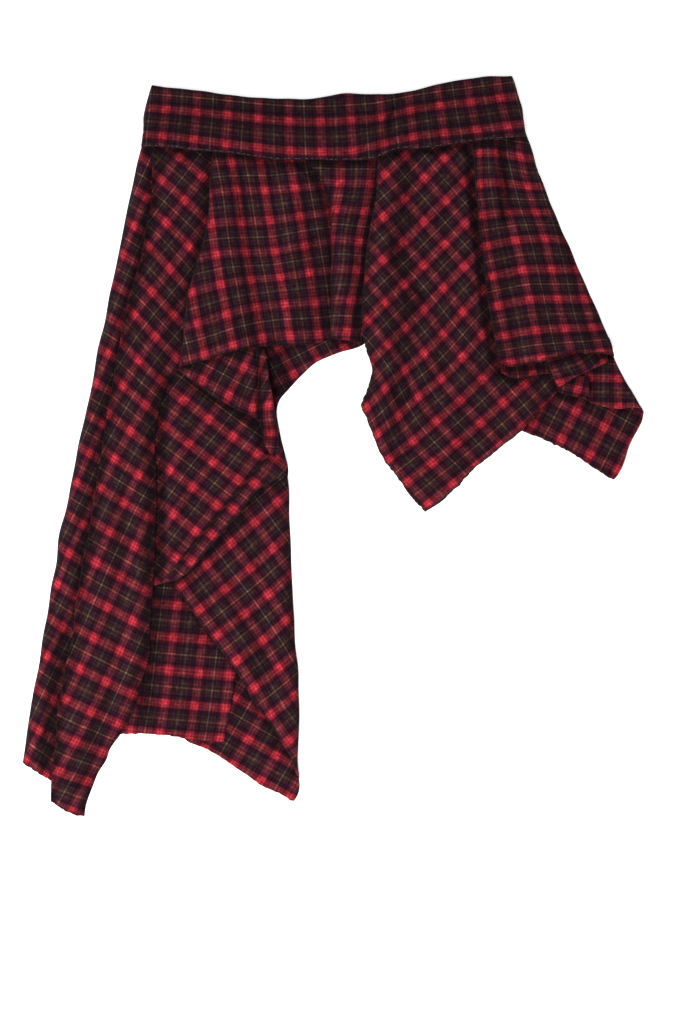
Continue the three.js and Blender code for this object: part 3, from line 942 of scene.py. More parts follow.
def fill_twill(graph: Graph, given: Outputs) -> dict[str, Input]:
    """Adds the diagonal of a two-and-two twill and the round of its threads.

    Args:
        graph: The group's nodes.
        given: The group's inputs.

    Returns:
        Which thread lies on top, and how high the cloth is.
    """
    split = graph.node("ShaderNodeSeparateXYZ", {0: given["Checks"]}).outputs
    threads = [graph.math("MULTIPLY", split[axis], given["Threads"]) for axis in ("X", "Y")]
    diagonal = graph.math("MULTIPLY", graph.math("ADD", *threads), math.pi / 2)
    wave = graph.math("SINE", diagonal)
    over = graph.step(wave, -THREAD_EDGE, THREAD_EDGE)
    ribs = [graph.math("SINE", graph.math("MULTIPLY", t, 2 * math.pi)) for t in threads]
    rib = graph.math("MULTIPLY", graph.math("ADD", *ribs), RIB_HEIGHT)
    height = graph.math("MULTIPLY_ADD", graph.math("ABSOLUTE", wave), DIAGONAL_HEIGHT, rib)
    return {"Over": over, "Height": height}


TWILL = Effect(
    "Twill weave",
    sockets(VECTOR, "Checks") | sockets(NUMBER, "Threads"),
    sockets(NUMBER, "Over", "Height"),
    fill_twill,
)

SLUB_DRIFT = 4.5  # how fast a yarn's thickness changes along a check
SLUB_SCALE, SLUB_DETAIL = 1.15, 2.5
SLUB_AMOUNT = 1.5
COMB_AMOUNT = 0.23  # how much the even rows of yarns show


def fill_yarns(graph: Graph, given: Outputs) -> dict[str, Input]:
    """Adds lines where the yarns of both directions are spun thicker or thinner.

    Args:
        graph: The group's nodes.
        given: The group's inputs.

    Returns:
        How light the yarns of each direction are.
    """
    split = graph.node("ShaderNodeSeparateXYZ", {0: given["Checks"]}).outputs
    values = {}
    for name, across, along in (("Strong", "X", "Y"), ("Weak", "Y", "X")):
        lines = graph.math("MULTIPLY", split[across], given["Yarns"])
        drift = graph.math("MULTIPLY", split[along], SLUB_DRIFT)
        where = graph.node("ShaderNodeCombineXYZ", {0: lines, 1: drift}).outputs[0]
        slub = graph.math("SUBTRACT", graph.noise(where, SLUB_SCALE, SLUB_DETAIL), 0.5)
        comb = graph.math("SINE", graph.math("MULTIPLY", lines, 2 * math.pi))
        slubs = graph.math("MULTIPLY", slub, SLUB_AMOUNT)
        both = graph.math("MULTIPLY_ADD", comb, COMB_AMOUNT, slubs)
        values[name] = graph.math("MULTIPLY_ADD", both, given["Contrast"], 1.0)
    return values


YARNS = Effect(
    "Uneven yarns",
    sockets(VECTOR, "Checks") | sockets(NUMBER, "Yarns", "Contrast"),
    sockets(NUMBER, "Strong", "Weak"),
    fill_yarns,
)

FIBRE_SCALE, FIBRE_DETAIL = 440.0, 3.0
TUFT_SCALE, MOTTLE_SCALE, SOFT_DETAIL = 215.0, 38.0, 2.0
FIBRE_SHARE = 0.75  # of the nap, and the rest is tufts


def fill_nap(graph: Graph, given: Outputs) -> dict[str, Input]:
    """Adds the brushed nap: short fibres and soft mottling, with painted shade and painted light
    that make the colour darker or paler by the painted shading input.

    Args:
        graph: The group's nodes.
        given: The group's inputs.

    Returns:
        The colour and the height of the nap.
    """
    fibres = graph.noise(given["Place"], FIBRE_SCALE, FIBRE_DETAIL)
    tufts = graph.noise(given["Place"], TUFT_SCALE, SOFT_DETAIL)
    mottle = graph.noise(given["Place"], MOTTLE_SCALE, SOFT_DETAIL)
    tufts = graph.math("MULTIPLY", tufts, 1 - FIBRE_SHARE)
    nap = graph.math("MULTIPLY_ADD", fibres, FIBRE_SHARE, tufts)
    spread = graph.about_middle(nap, given["Nap"], 1.0)
    cloud = graph.about_middle(mottle, given["Mottling"], spread)
    # painted shade and painted light: the colour is scaled down below the middle of the painted
    # shading and up above it, by its strength
    rubbed = graph.math("MULTIPLY_ADD", given["Rubbed"], given["Rubbing"], cloud)
    shade = graph.math("SUBTRACT", rubbed, graph.math("MULTIPLY", given["Rubbing"], 0.5))
    return {"Colour": graph.scaled(given["Colour"], shade), "Height": nap}


NAP = Effect(
    "Brushed nap",
    sockets(COLOUR, "Colour")
    | sockets(VECTOR, "Place")
    | sockets(NUMBER, "Rubbed", "Nap", "Mottling", "Rubbing"),
    sockets(COLOUR, "Colour") | sockets(NUMBER, "Height"),
    fill_nap,
)


# ---------------------------------------------------------------- finishes

Colour = tuple[float, float, float, float]


def new_material(name: str) -> tuple[bpy.types.Material, Graph]:
    """Starts a material.

    Args:
        name: Its name.

    Returns:
        The material, without nodes, and a graph that adds them.
    """
    made = bpy.data.materials.new(name)
    made.use_nodes = True
    return made, Graph(made.node_tree)


def add_shader(graph: Graph, surface: dict[str, Input]) -> None:
    """Adds a material's shader, with what feeds it, and its output."""
    shader = graph.node("ShaderNodeBsdfPrincipled", surface)
    graph.node("ShaderNodeOutputMaterial", {"Surface": shader.outputs[0]})


@dataclass(frozen=True)
class Stripes:
    """Colours of the threads of one direction, with the half widths as shares of a check.

    The cloth's colour is the product of both directions' colours, so each is about the square
    root of what a cloth of that thread alone would show. Each field feeds the input of the same
    name in the tartan's node group.
    """

    red: Colour
    navy: Colour
    slate: Colour
    ground: Colour
    line: Colour
    red_reach: float = 0.124
    navy_reach: float = 0.295
    slate_reach: float = 0.37
    line_reach: float = 0.024
    softness: float = 0.074

    def add_to(self, graph: Graph, count: bpy.types.NodeSocket) -> bpy.types.NodeSocket:
        """Adds the stripes to a material and returns their colour."""
        own = {name.replace("_", " ").capitalize(): value for name, value in asdict(self).items()}
        return SETT.add_to(graph, {"Count": count, **own})["Colour"]


@dataclass(frozen=True)
class TartanCotton:
    """Brushed cotton twill in a red, navy and olive tartan.

    threads and yarns are counts in one check, and the depths are in metres.
    """

    name: str = "tartan_cotton"
    strong: Stripes = Stripes(
        red=(0.6, 0.148, 0.182, 1),
        navy=(0.084, 0.035, 0.076, 1),
        slate=(0.122, 0.108, 0.132, 1),
        ground=(0.132, 0.086, 0.084, 1),
        line=(0.338, 0.31, 0.23, 1),
    )
    weak: Stripes = Stripes(
        red=(0.592, 0.142, 0.178, 1),
        navy=(0.164, 0.042, 0.071, 1),
        slate=(0.180, 0.100, 0.118, 1),
        ground=(0.178, 0.084, 0.087, 1),
        line=(0.36, 0.306, 0.238, 1),
    )
    threads: float = 84.0
    twill_contrast: float = 0.08
    yarns: float = 9.4
    yarn_contrast: float = 1.0
    nap: float = 1.3
    mottling: float = 0.2
    # strength of the painted shade and painted light that the cloth's attribute puts on its colour
    rubbing: float = 1.3
    weave_depth: float = 0.00012
    weave_strength: float = 0.6
    nap_depth: float = 0.00012
    nap_strength: float = 0.7
    roughness: float = 0.95
    gloss: float = 0.05
    sheen: float = 0.04
    sheen_roughness: float = 0.6
    sheen_tint: Colour = (0.9, 0.7, 0.85, 1)

    def material(self) -> bpy.types.Material:
        """Builds the material.

        Returns:
            The material.
        """
        made, graph = new_material(self.name)
        checks = graph.node("ShaderNodeUVMap", uv_map="Checks").outputs["UV"]
        place = graph.node("ShaderNodeTexCoord").outputs["Object"]
        twill = TWILL.add_to(graph, {"Checks": checks, "Threads": self.threads})
        woven = self.woven(graph, checks, twill["Over"])
        # painted shade and painted light, read from the cloth's attribute
        rubbed = graph.node("ShaderNodeAttribute", attribute_name="rubbed").outputs["Fac"]
        own = {"Nap": self.nap, "Mottling": self.mottling, "Rubbing": self.rubbing}
        nap = NAP.add_to(graph, {"Colour": woven, "Place": place, "Rubbed": rubbed, **own})
        weave = graph.bump(self.weave_strength, twill["Height"], self.weave_depth)
        surface = {
            "Base Color": nap["Colour"],
            "Roughness": self.roughness,
            "Normal": graph.bump(self.nap_strength, nap["Height"], self.nap_depth, Normal=weave),
            "Sheen Weight": self.sheen,
            "Sheen Roughness": self.sheen_roughness,
            "Sheen Tint": self.sheen_tint,
            "Specular IOR Level": self.gloss,
        }
        add_shader(graph, surface)
        return made

    def woven(
        self, graph: Graph, checks: bpy.types.NodeSocket, over: bpy.types.NodeSocket
    ) -> bpy.types.NodeSocket:
        """Weaves the stripes of both directions.

        Args:
            graph: The material's nodes.
            checks: The counts of stripes.
            over: Which thread lies on top.

        Returns:
            The cloth's colour.
        """
        split = graph.node("ShaderNodeSeparateXYZ", {0: checks}).outputs
        inputs = {"Checks": checks, "Yarns": self.yarns, "Contrast": self.yarn_contrast}
        yarns = YARNS.add_to(graph, inputs)
        strong = graph.scaled(self.strong.add_to(graph, split["X"]), yarns["Strong"])
        weak = graph.scaled(self.weak.add_to(graph, split["Y"]), yarns["Weak"])
        mixed, strong_alone, weak_alone = (
            graph.mix(1.0, a, b, "MULTIPLY")
            for a, b in ((strong, weak), (strong, strong), (weak, weak))
        )
        thread = graph.mix(over, strong_alone, weak_alone)
        return graph.mix(self.twill_contrast, mixed, thread)


@dataclass(frozen=True)
class SewingThread:
    """Fine spun thread, with the depth of its fibres in metres."""

    name: str
    colour: Colour
    roughness: float = 0.7
    # level of painted shading, where 0.5 is neither painted shade nor painted light
    rubbed: float = 0.5
    nap: float = 0.8
    nap_depth: float = 0.00008
    nap_strength: float = 0.5

    def material(self) -> bpy.types.Material:
        """Builds the material.

        Returns:
            The material.
        """
        made, graph = new_material(self.name)
        place = graph.node("ShaderNodeTexCoord").outputs["Object"]
        inputs = {"Colour": self.colour, "Place": place, "Rubbed": self.rubbed, "Nap": self.nap}
        nap = NAP.add_to(graph, inputs)
        normal = graph.bump(self.nap_strength, nap["Height"], self.nap_depth)
        surface = {"Base Color": nap["Colour"], "Roughness": self.roughness, "Normal": normal}
        add_shader(graph, surface)
        return made


# ---------------------------------------------------------------- sewing


@dataclass
class Stitching:
    """A row of stitches along a line on the cloth."""

    name: str
    pitch: float
    length: float
    thickness: float
    slant: float = 0.0  # degrees that each stitch is turned from the line
    uneven: float = 0.12  # how far the places and lengths differ, as a share
    uneven_turn: float = 7.0  # degrees by which the turns differ
    seed: int = 5

    SIDES = 6
    RINGS = ((-0.5, 0.45), (-0.3, 0.95), (0.0, 1.0), (0.3, 0.95), (0.5, 0.45))

    def sew(self, line: np.ndarray, material: bpy.types.Material) -> bpy.types.Object:
        """Makes the stitches.

        Args:
            line: The line that they follow, in layout millimetres.
            material: The thread.

        Returns:
            One object that holds them all.
        """
        walked = np.concatenate([[0], np.cumsum(np.linalg.norm(np.diff(line, axis=0), axis=1))])
        places = np.arange(self.pitch, walked[-1] - self.pitch, self.pitch)
        draw = np.random.default_rng(self.seed)
        places = places + draw.normal(0, self.uneven * self.pitch, len(places))
        centre, ahead = (
            np.column_stack([np.interp(places + on, walked, line[:, k]) for k in range(3)])
            for on in (0, 1)
        )
        along = ahead - centre
        along /= np.maximum(np.linalg.norm(along, axis=1, keepdims=True), TINY)
        turn = np.radians(self.slant + draw.normal(0, self.uneven_turn, len(places)))[:, None]
        side = np.column_stack([-along[:, 1], along[:, 0], np.zeros(len(places))])
        cos, sin = np.cos(turn), np.sin(turn)
        along, side = along * cos + side * sin, side * cos - along * sin
        length = self.length * draw.uniform(1 - self.uneven, 1 + self.uneven, len(places))[:, None]
        points = []
        for reach, girth in self.RINGS:
            for k in range(self.SIDES):
                angle = 2 * math.pi * k / self.SIDES
                out = side * math.cos(angle) * self.thickness / 2 * girth
                up = math.sin(angle) * self.thickness / 2 * girth
                points.append(centre + along * length * reach + out + np.array([0, 0, up]))
        count = len(points)
        faces = [
            [corner + count * stitch for corner in face]
            for stitch in range(len(places))
            for face in self._faces()
        ]
        thing = mesh_object(self.name, np.stack(points, axis=1).reshape(-1, 3), faces)
        thing.data.materials.append(material)
        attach(thing, BODY)
        log.info("%s: %d stitches", self.name, len(places))
        return thing

    def _faces(self) -> list[list[int]]:
        """Joins the points of one stitch.

        Returns:
            The faces, by the numbers of their points.
        """
        sides, rings = self.SIDES, len(self.RINGS)
        faces = [list(range(sides)), [rings * sides - 1 - k for k in range(sides)]]
        for ring in range(rings - 1):
            for k in range(sides):
                a, b = ring * sides + k, ring * sides + (k + 1) % sides
                faces.append([b, a, a + sides, b + sides])
        return faces


# ---------------------------------------------------------------- the waistband


@dataclass
class Waistband:
    """The straight waistband: one strip folded along its top edge, sewn to the panels."""

    inset: float = 5.0  # the fold at each end of the band wraps round this much
    loft: float = 1.6
    front_rows: Columns = field(
        default_factory=lambda: sections(
            (152, 87, 142, 147), (180, 90, 176, 148.5), (220, 95, 218, 152.5),
            (262, 99.5, 262, 158), (300, 100, 300, 160), (345, 95.5, 343, 160),
            (373, 96, 372, 159.5), (398, 95, 394, 150.2), (425, 89, 424, 148),
            (455, 82, 455, 144), (485, 77.5, 488, 140), (511, 77, 525, 137),
        )
    )

    def grain(self) -> Grain:
        """Lays the checks, with the strong stripes along the band.

        Returns:
            The grain.
        """
        return Grain(
            (166, 110, 0, 0), (228, 116, 0, 2), (289, 122, 0, 4), (351, 121, 0, 6),
            (381, 118, 0, 7), (410, 111, 0, 8), (470, 103, 0, 10), (500, 99, 0, 11),
            (163, 137, 1, 0), (226, 145, 1, 2), (290, 152, 1, 4), (353, 152, 1, 6),
            (383, 145, 1, 7), (413, 138, 1, 8), (476, 131, 1, 10), (507, 127, 1, 11),
        )

    def pieces(self) -> list[ClothPiece]:
        """Cuts the back and the front of the band.

        Returns:
            The pieces.
        """
        back = {name: column.copy() for name, column in self.front_rows.items()}
        for name in ("ax", "bx"):
            back[name][0] += self.inset
            back[name][-1] -= self.inset
        return [
            ClothPiece("waistband_back", back, self.grain(), cloth=BAND_CLOTH),
            ClothPiece(
                "waistband_front",
                self.front_rows,
                self.grain(),
                rests_on=("centre_panel", "right_bias_panel", "left_front_drape"),
                roll={Edge.A: Roll(5), Edge.B: Roll(2.5), Edge.TOP: Roll(9), Edge.HEM: Roll(5)},
                loft=self.loft,
                cloth=BAND_CLOTH,
                held=Held.FOLDED,
                top_bow=bows((0, 0), (0.5, -2.6), (1, 0)),
                hem_bow=bows((0, 0), (0.5, 3.4), (1, 0)),
                creases=folds(
                    (399, 93, 378, 158, 14, -1.6), (391, 93, 372, 150, 14, 0.8),
                    (160, 132, 340, 146, 22, 0.5), (400, 140, 515, 128, 22, 0.5),
                    (160, 100, 300, 112, 16, -0.8),
                ),
            ),
        ]


# ---------------------------------------------------------------- the back


@dataclass
class BackPanels:
    """The plain back, in two halves, and the straight-grain panel across its left half."""

    centre_back: float = 372.0  # x of the seam between the two halves
    back_join: float = 562.0  # y of the seam across the left half
    seam_gap: float = 0.3

    def pieces(self) -> list[ClothPiece]:
        """Cuts the left half, the right half and the inner panel.

        Returns:
            The pieces.
        """
        half_gap = self.seam_gap / 2
        left_of, right_of = self.centre_back - half_gap, self.centre_back + half_gap
        above = self.back_join - self.seam_gap
        return [
            ClothPiece(
                "left_back",
                sections(
                    (153, 140, left_of, 152), (137, 215, left_of, 220), (122, 285, left_of, 290),
                    (113, 330, left_of, 325), (110, 345, 367, 342), (107, 356, 338, 353),
                    (105, 366, 314, 363.5), (103, 376, 300, 376), (101, 388, 289.5, 388),
                    (99, 400, 279.5, 400), (96, 412, 276.5, 412), (92, 432, 279.5, 432),
                    (87, 455, 285, 455), (83.5, 474, 287, 474), (76, 510, 275, 510),
                    (65, above, 262, above),
                ),
                straight_grain((293, 374), (26, -13), (14, 25)),
            ),
            ClothPiece(
                "right_back",
                sections(
                    (right_of, 152, 513, 131), (right_of, 200, 538, 190),
                    (right_of, 240, 554, 238), (right_of, 290, 576, 288),
                    (right_of, 325, 590, 325), (right_of, 345, 598, 350),
                ),
                straight_grain((420, 200), (29, 0), (0, 30)),
            ),
            ClothPiece(
                "left_inner_panel",
                sections(
                    (65, self.back_join, 262, self.back_join), (54, 620, 249, 620),
                    (44, 675, 236, 675), (39, 700, 232.5, 700), (36, 722, 228, 722),
                    (34, 735, 224, 742),
                ),
                Grain(
                    (177, 605, 0, 0), (169, 670, 2, 0), (229, 675, 2, 2), (165, 703, 3, 0),
                    (225, 708, 3, 2), (160, 733, 4, 0), (220, 738, 4, 2),
                ),
                rests_on=("corner_turn_under",),
                fray={Edge.HEM: 0.45},
                hem_bow=bows((0, 0), (0.5, -5), (0.6, -5.5), (0.8, -3), (1, 0)),
            ),
        ]


# ---------------------------------------------------------------- the left drapes


@dataclass
class LeftDrapes:
    """The long drapes of the left side, folded over each other.

    The lofts are how high the pieces stand off the cloth below, in millimetres.
    """

    corner_loft: float = 2.6
    middle_loft: float = 3.2
    middle_step: float = 1.7  # fine enough for the crease along its tuck
    crotch_loft: float = 1.8
    side_loft: float = 3.4
    front_loft: float = 4.0

    def pieces(self) -> list[ClothPiece]:
        """Cuts the drapes, from the table up.

        Returns:
            The pieces.
        """
        return [
            self.corner_turn_under(),
            self.corner(),
            self.middle(),
            self.crotch(),
            self.side(),
            self.front(),
        ]

    def corner_turn_under(self) -> ClothPiece:
        """Cuts the corner's cloth where it is turned under.

        Returns:
            The piece.
        """
        return ClothPiece(
            "corner_turn_under",
            sections(
                (262, 610, 287, 606), (236, 650, 290, 650), (212, 695, 293, 695),
                (184, 736.5, 293, 735), (207, 748, 296, 752), (227, 761.5, 297.5, 764),
                (247, 774, 298.5, 777), (268, 787.5, 299, 786), (283, 796, 296.5, 796),
                (290, 800.5, 293, 801),
            ),
            straight_grain((248, 739), (-15, 25.5), (28, 16)),
            fray={Edge.A: 0.5},
        )

    def corner(self) -> ClothPiece:
        """Cuts the corner that is folded over from the back.

        Returns:
            The piece.
        """
        return ClothPiece(
            "corner_drape",
            sections(
                (250, 470, 284, 462), (232, 497, 288, 490), (205, 525, 289, 517),
                (183, 553, 290.5, 545), (171, 578, 291.5, 570), (187, 601, 292.5, 598),
                (204, 627, 294, 624), (224, 653, 296, 650), (240, 676, 298, 676),
                (253, 700, 299, 702), (269, 722, 298.5, 726), (284, 744, 298, 748),
                (292, 758, 298, 764), (296, 772, 299.5, 778),
            ),
            Grain(
                (182, 585, 0, -2), (231, 543, 0, 0), (278, 502, 0, 2), (218, 634, 2, -2),
                (269, 594, 2, 0), (263, 640, 3, -1), (286, 620, 3, 0), (255, 687, 4, -2),
                (271, 714, 5, -2), (295, 695, 5, -1), (289, 740, 6, -2),
            ),
            rests_on=("left_inner_panel", "corner_turn_under"),
            roll={Edge.A: Roll(9), Edge.B: Roll(12), Edge.HEM: Roll(6)},
            loft=self.corner_loft,
            held=Held.FOLDED,
            creases=folds(
                (268, 510, 282, 700, 36, 2.4), (222, 585, 262, 665, 34, -2),
                (205, 560, 240, 640, 26, 1.6), (288, 560, 292, 640, 16, -1.4),
                (262, 690, 286, 745, 18, 1.4),
            ),
        )

    def middle(self) -> ClothPiece:
        """Cuts the stretch of the drape past the deep valley, with its end tucked.

        Returns:
            The piece.
        """
        return ClothPiece(
            "left_middle_drape",
            sections(
                (150, 352, 240, 350), (138, 385, 262, 385), (132, 415, 275, 415),
                (128, 445, 281, 445), (127, 472, 285.5, 470), (127, 497, 259, 490),
                (128, 522, 232, 521), (130, 545, 212, 545), (133, 566, 194, 566),
                (140, 588, 176, 580),
            ),
            Grain(
                (184, 400, 0, 0), (258, 454, 0, 3), (165, 426, 1, 0), (238, 480, 1, 3),
                (193, 487, 2, 2), (174, 514, 3, 2), (217, 505, 2, 3), (196, 531, 3, 3),
                (209, 419, 0, 1), (233, 437, 0, 2), (189, 444, 1, 1), (213, 462, 1, 2),
                (170, 470, 2, 1),
                tuck=(180, 561, 266, 458, 0.21, 0.48),
            ),
            rests_on=("corner_drape", "left_back"),
            step=self.middle_step,
            roll={Edge.B: Roll(6), Edge.HEM: Roll(6)},
            loft=self.middle_loft,
            held=Held.FOLDED,
            creases=folds(
                (266, 458, 180, 561, 5, -1.8), (276, 466, 191, 563, 12, 1.2),
                (160, 385, 159, 578, 22, -4), (252, 440, 190, 525, 30, 1.8),
                (176, 400, 174, 530, 26, 2.2), (240, 408, 262, 436, 18, -1),
            ),
        )

    def crotch(self) -> ClothPiece:
        """Cuts the small gathered piece below the centre panel's hem.

        Returns:
            The piece.
        """
        return ClothPiece(
            "crotch_piece",
            sections(
                (188, 345, 178, 369), (205, 340, 200, 385.5), (224, 335, 222, 400.5),
                (240, 332, 240, 411), (252, 334, 254, 418), (260, 340, 262.5, 430),
                (266, 360, 267, 447), (271, 385, 275, 456), (273.5, 402, 280, 450),
            ),
            Grain(
                (229, 395, 0, 0), (244, 368, 0, -1), (203, 380, -1, 0), (253, 408, 1, 0),
                (268, 406, 1.55, 0), (270, 433, 1.55, 1),
                tuck=(262, 440, 257, 345, 0.45, 0),
            ),
            rests_on=("left_middle_drape",),
            roll={Edge.B: Roll(4), Edge.HEM: Roll(3)},
            loft=self.crotch_loft,
            creases=folds(
                (248, 345, 252, 410, 16, 2.6), (257, 348, 262, 440, 7, -4),
                (268, 360, 271, 420, 13, 1.2), (271, 428, 277, 456, 24, -1.8),
                (215, 345, 210, 390, 26, 1.4),
            ),
        )

    def side(self) -> ClothPiece:
        """Cuts the long panel at the left edge, folded round to the back.

        Returns:
            The piece.
        """
        return ClothPiece(
            "left_side",
            sections(
                (143.5, 139, 181, 141), (132, 190, 176, 196), (118, 260, 165, 264),
                (109.5, 300, 152, 304), (99, 350, 143, 355), (86.5, 410, 133, 417),
                (72, 480, 121, 488), (60, 540, 110, 548), (50, 603, 99, 612), (40, 660, 90, 670),
                (31, 712, 82, 724), (23, 763, 76, 795),
            ),
            Grain(
                (147, 198, 0, 0), (123, 255, 2, 0), (121, 325, 4, 1), (96, 383, 6, 1),
                (90, 453, 8, 2), (77, 483, 9, 2), (70, 553, 11, 3), (58, 584, 12, 3),
                (48, 656, 14, 4), (40, 730, 16, 5), (26, 760, 17, 5), (46, 775, 17, 6),
            ),
            rests_on=("left_inner_panel",),
            roll={Edge.A: Roll(10), Edge.HEM: Roll(8, soft=True)},
            fray={Edge.HEM: 0.4},
            loft=self.side_loft,
            held=Held.FOLDED,
            creases=folds(
                (70, 620, 44, 790, 30, -4), (44, 640, 30, 750, 22, 1.4),
                (124, 335, 112, 420, 26, -2), (104, 400, 84, 520, 22, -2),
                (108, 320, 60, 580, 22, 1.4), (146, 165, 116, 330, 26, 2.6),
            ),
        )

    def front(self) -> ClothPiece:
        """Cuts the long bias drape at the front, with a fold at each side.

        Returns:
            The piece.
        """
        return ClothPiece(
            "left_front_drape",
            sections(
                (155, 141, 240, 146), (151, 206, 236, 210), (140, 263, 228, 268),
                (130, 297, 218, 302), (121, 340, 204, 345), (114.5, 378, 171, 378),
                (110, 405, 159, 408), (104, 440, 155, 440), (97, 487, 157, 487),
                (90.5, 525, 156, 527), (82, 570, 154.5, 570), (75.5, 612, 151, 612),
                (68.6, 656, 149, 655), (62, 688, 140, 687), (58, 715, 132, 713.5),
                (56.8, 732, 122, 731), (55.7, 750, 110, 749.5), (54, 761, 106.3, 760),
                (52.4, 772, 98.3, 771.5), (51.5, 786, 92, 788), (51.1, 795, 85.5, 806),
                (51, 800, 84, 816),
            ),
            Grain(
                (180, 158, 0, -1), (203, 177, 0, 0), (149, 247, 3, 0), (192, 293, 3, 2),
                (135, 315, 5, 1), (177, 358, 5, 3), (124, 386, 7, 2), (101, 488, 10, 3),
                (149, 517, 10, 5), (83, 593, 13, 4), (146, 664, 14, 7), (66, 699, 16, 5),
                (59, 771, 18, 6), (88, 781, 18, 7),
            ),
            rests_on=("left_middle_drape", "left_inner_panel"),
            roll={
                Edge.A: Roll(14, soft=True),
                Edge.B: Roll(15, soft=True),
                Edge.HEM: Roll(8, soft=True),
            },
            fray={Edge.HEM: 0.35},
            loft=self.front_loft,
            held=Held.FOLDED,
            hem_bow=bows((0, 1), (0.35, 4), (0.75, 3.6), (1, 0)),
            creases=folds(
                (172, 175, 150, 300, 34, 1), (150, 150, 122, 340, 26, -1.6),
                (140, 215, 158, 236, 14, 1.2), (128, 262, 148, 280, 12, -1.4),
                (122, 300, 142, 318, 14, 1.2), (160, 144, 160, 166, 20, -3),
                (206, 146, 214, 172, 20, -3), (218, 160, 176, 330, 30, -2),
                (182, 300, 166, 376, 34, -3.2), (196, 250, 190, 330, 26, 2),
                (136, 400, 136, 560, 34, 3), (136, 560, 126, 690, 34, 2.8),
                (112, 440, 96, 600, 40, 2), (108, 700, 84, 780, 30, -2.4),
                (92, 500, 70, 690, 20, -1.4),
            ),
        )


# ---------------------------------------------------------------- the centre front


@dataclass
class CentreFront:
    """The short straight-grain panel with soft pleats, and the narrow pleat over its edge."""

    panel_loft: float = 2.8
    pleat_loft: float = 3.0

    def pieces(self) -> list[ClothPiece]:
        """Cuts the panel and the pleat.

        Returns:
            The pieces.
        """
        return [
            ClothPiece(
                "centre_panel",
                sections(
                    (214, 146, 328, 152), (210, 195, 336, 190), (207, 228, 343, 226),
                    (196, 269, 345, 264), (188, 297, 345, 293), (184.5, 331, 345, 315),
                    (180, 367, 345, 334),
                ),
                Grain(
                    (237, 191, 2, 0), (265, 191, 3, 0), (295, 189, 4, 0), (260, 162, 3, -1),
                    (212, 225, 1, 1), (300, 217, 4, 1), (216, 255, 1, 2), (275, 252, 3, 2),
                    (192, 293, 0, 3), (251, 280, 2, 3), (310, 273, 4, 3), (198, 324, 0, 4),
                    (256, 308, 2, 4), (205, 355, 0, 5), (262, 338, 2, 5), (318, 334, 4, 5),
                ),
                rests_on=("left_front_drape", "crotch_piece"),
                roll={Edge.A: Roll(9), Edge.HEM: Roll(4, soft=True)},
                fray={Edge.HEM: 0.4},
                loft=self.panel_loft,
                hem_bow=bows(
                    (0, 0), (0.16, -0.5), (0.36, -6), (0.55, -4), (0.7, 1.5), (0.85, 3.5), (1, 0)
                ),
                creases=folds(
                    (214, 215, 230, 350, 30, 1.8), (222, 148, 226, 168, 18, -1.6),
                    (262, 156, 266, 178, 22, -2), (296, 158, 318, 178, 18, -2.4),
                    (238, 175, 258, 350, 24, -3.2), (262, 170, 274, 300, 20, 1.2),
                    (286, 185, 290, 345, 34, 3.4), (306, 165, 312, 260, 18, -2),
                    (324, 180, 320, 338, 30, -4.4),
                ),
            ),
            ClothPiece(
                "centre_pleat",
                sections(
                    (297, 151, 392, 147), (311, 167, 391, 162), (323, 185, 389.5, 181),
                    (330, 205, 387, 203), (332, 240, 382, 238), (331.5, 285, 378, 284),
                    (331.5, 320, 377, 320), (332, 338, 378, 345),
                ),
                Grain(
                    (340, 184, 0, 0), (370, 184, 1, 0), (335, 210, 0, 1),
                    (310, 164, -0.76, -0.66), (365, 212, 1, 1), (359, 242, 1, 2),
                    (328, 270, 0, 3), (357, 270, 1, 3), (351, 301, 1, 4), (347, 332, 1, 5),
                ),
                rests_on=("centre_panel",),
                roll={Edge.A: Roll(9)},
                loft=self.pleat_loft,
                held=Held.FOLDED,
                creases=folds(
                    (306, 158, 326, 196, 18, -3.6), (342, 198, 340, 335, 24, 2.6),
                    (359, 215, 357, 340, 16, -1), (378, 170, 366, 345, 26, -2.4),
                ),
            ),
        ]


# ---------------------------------------------------------------- the right front


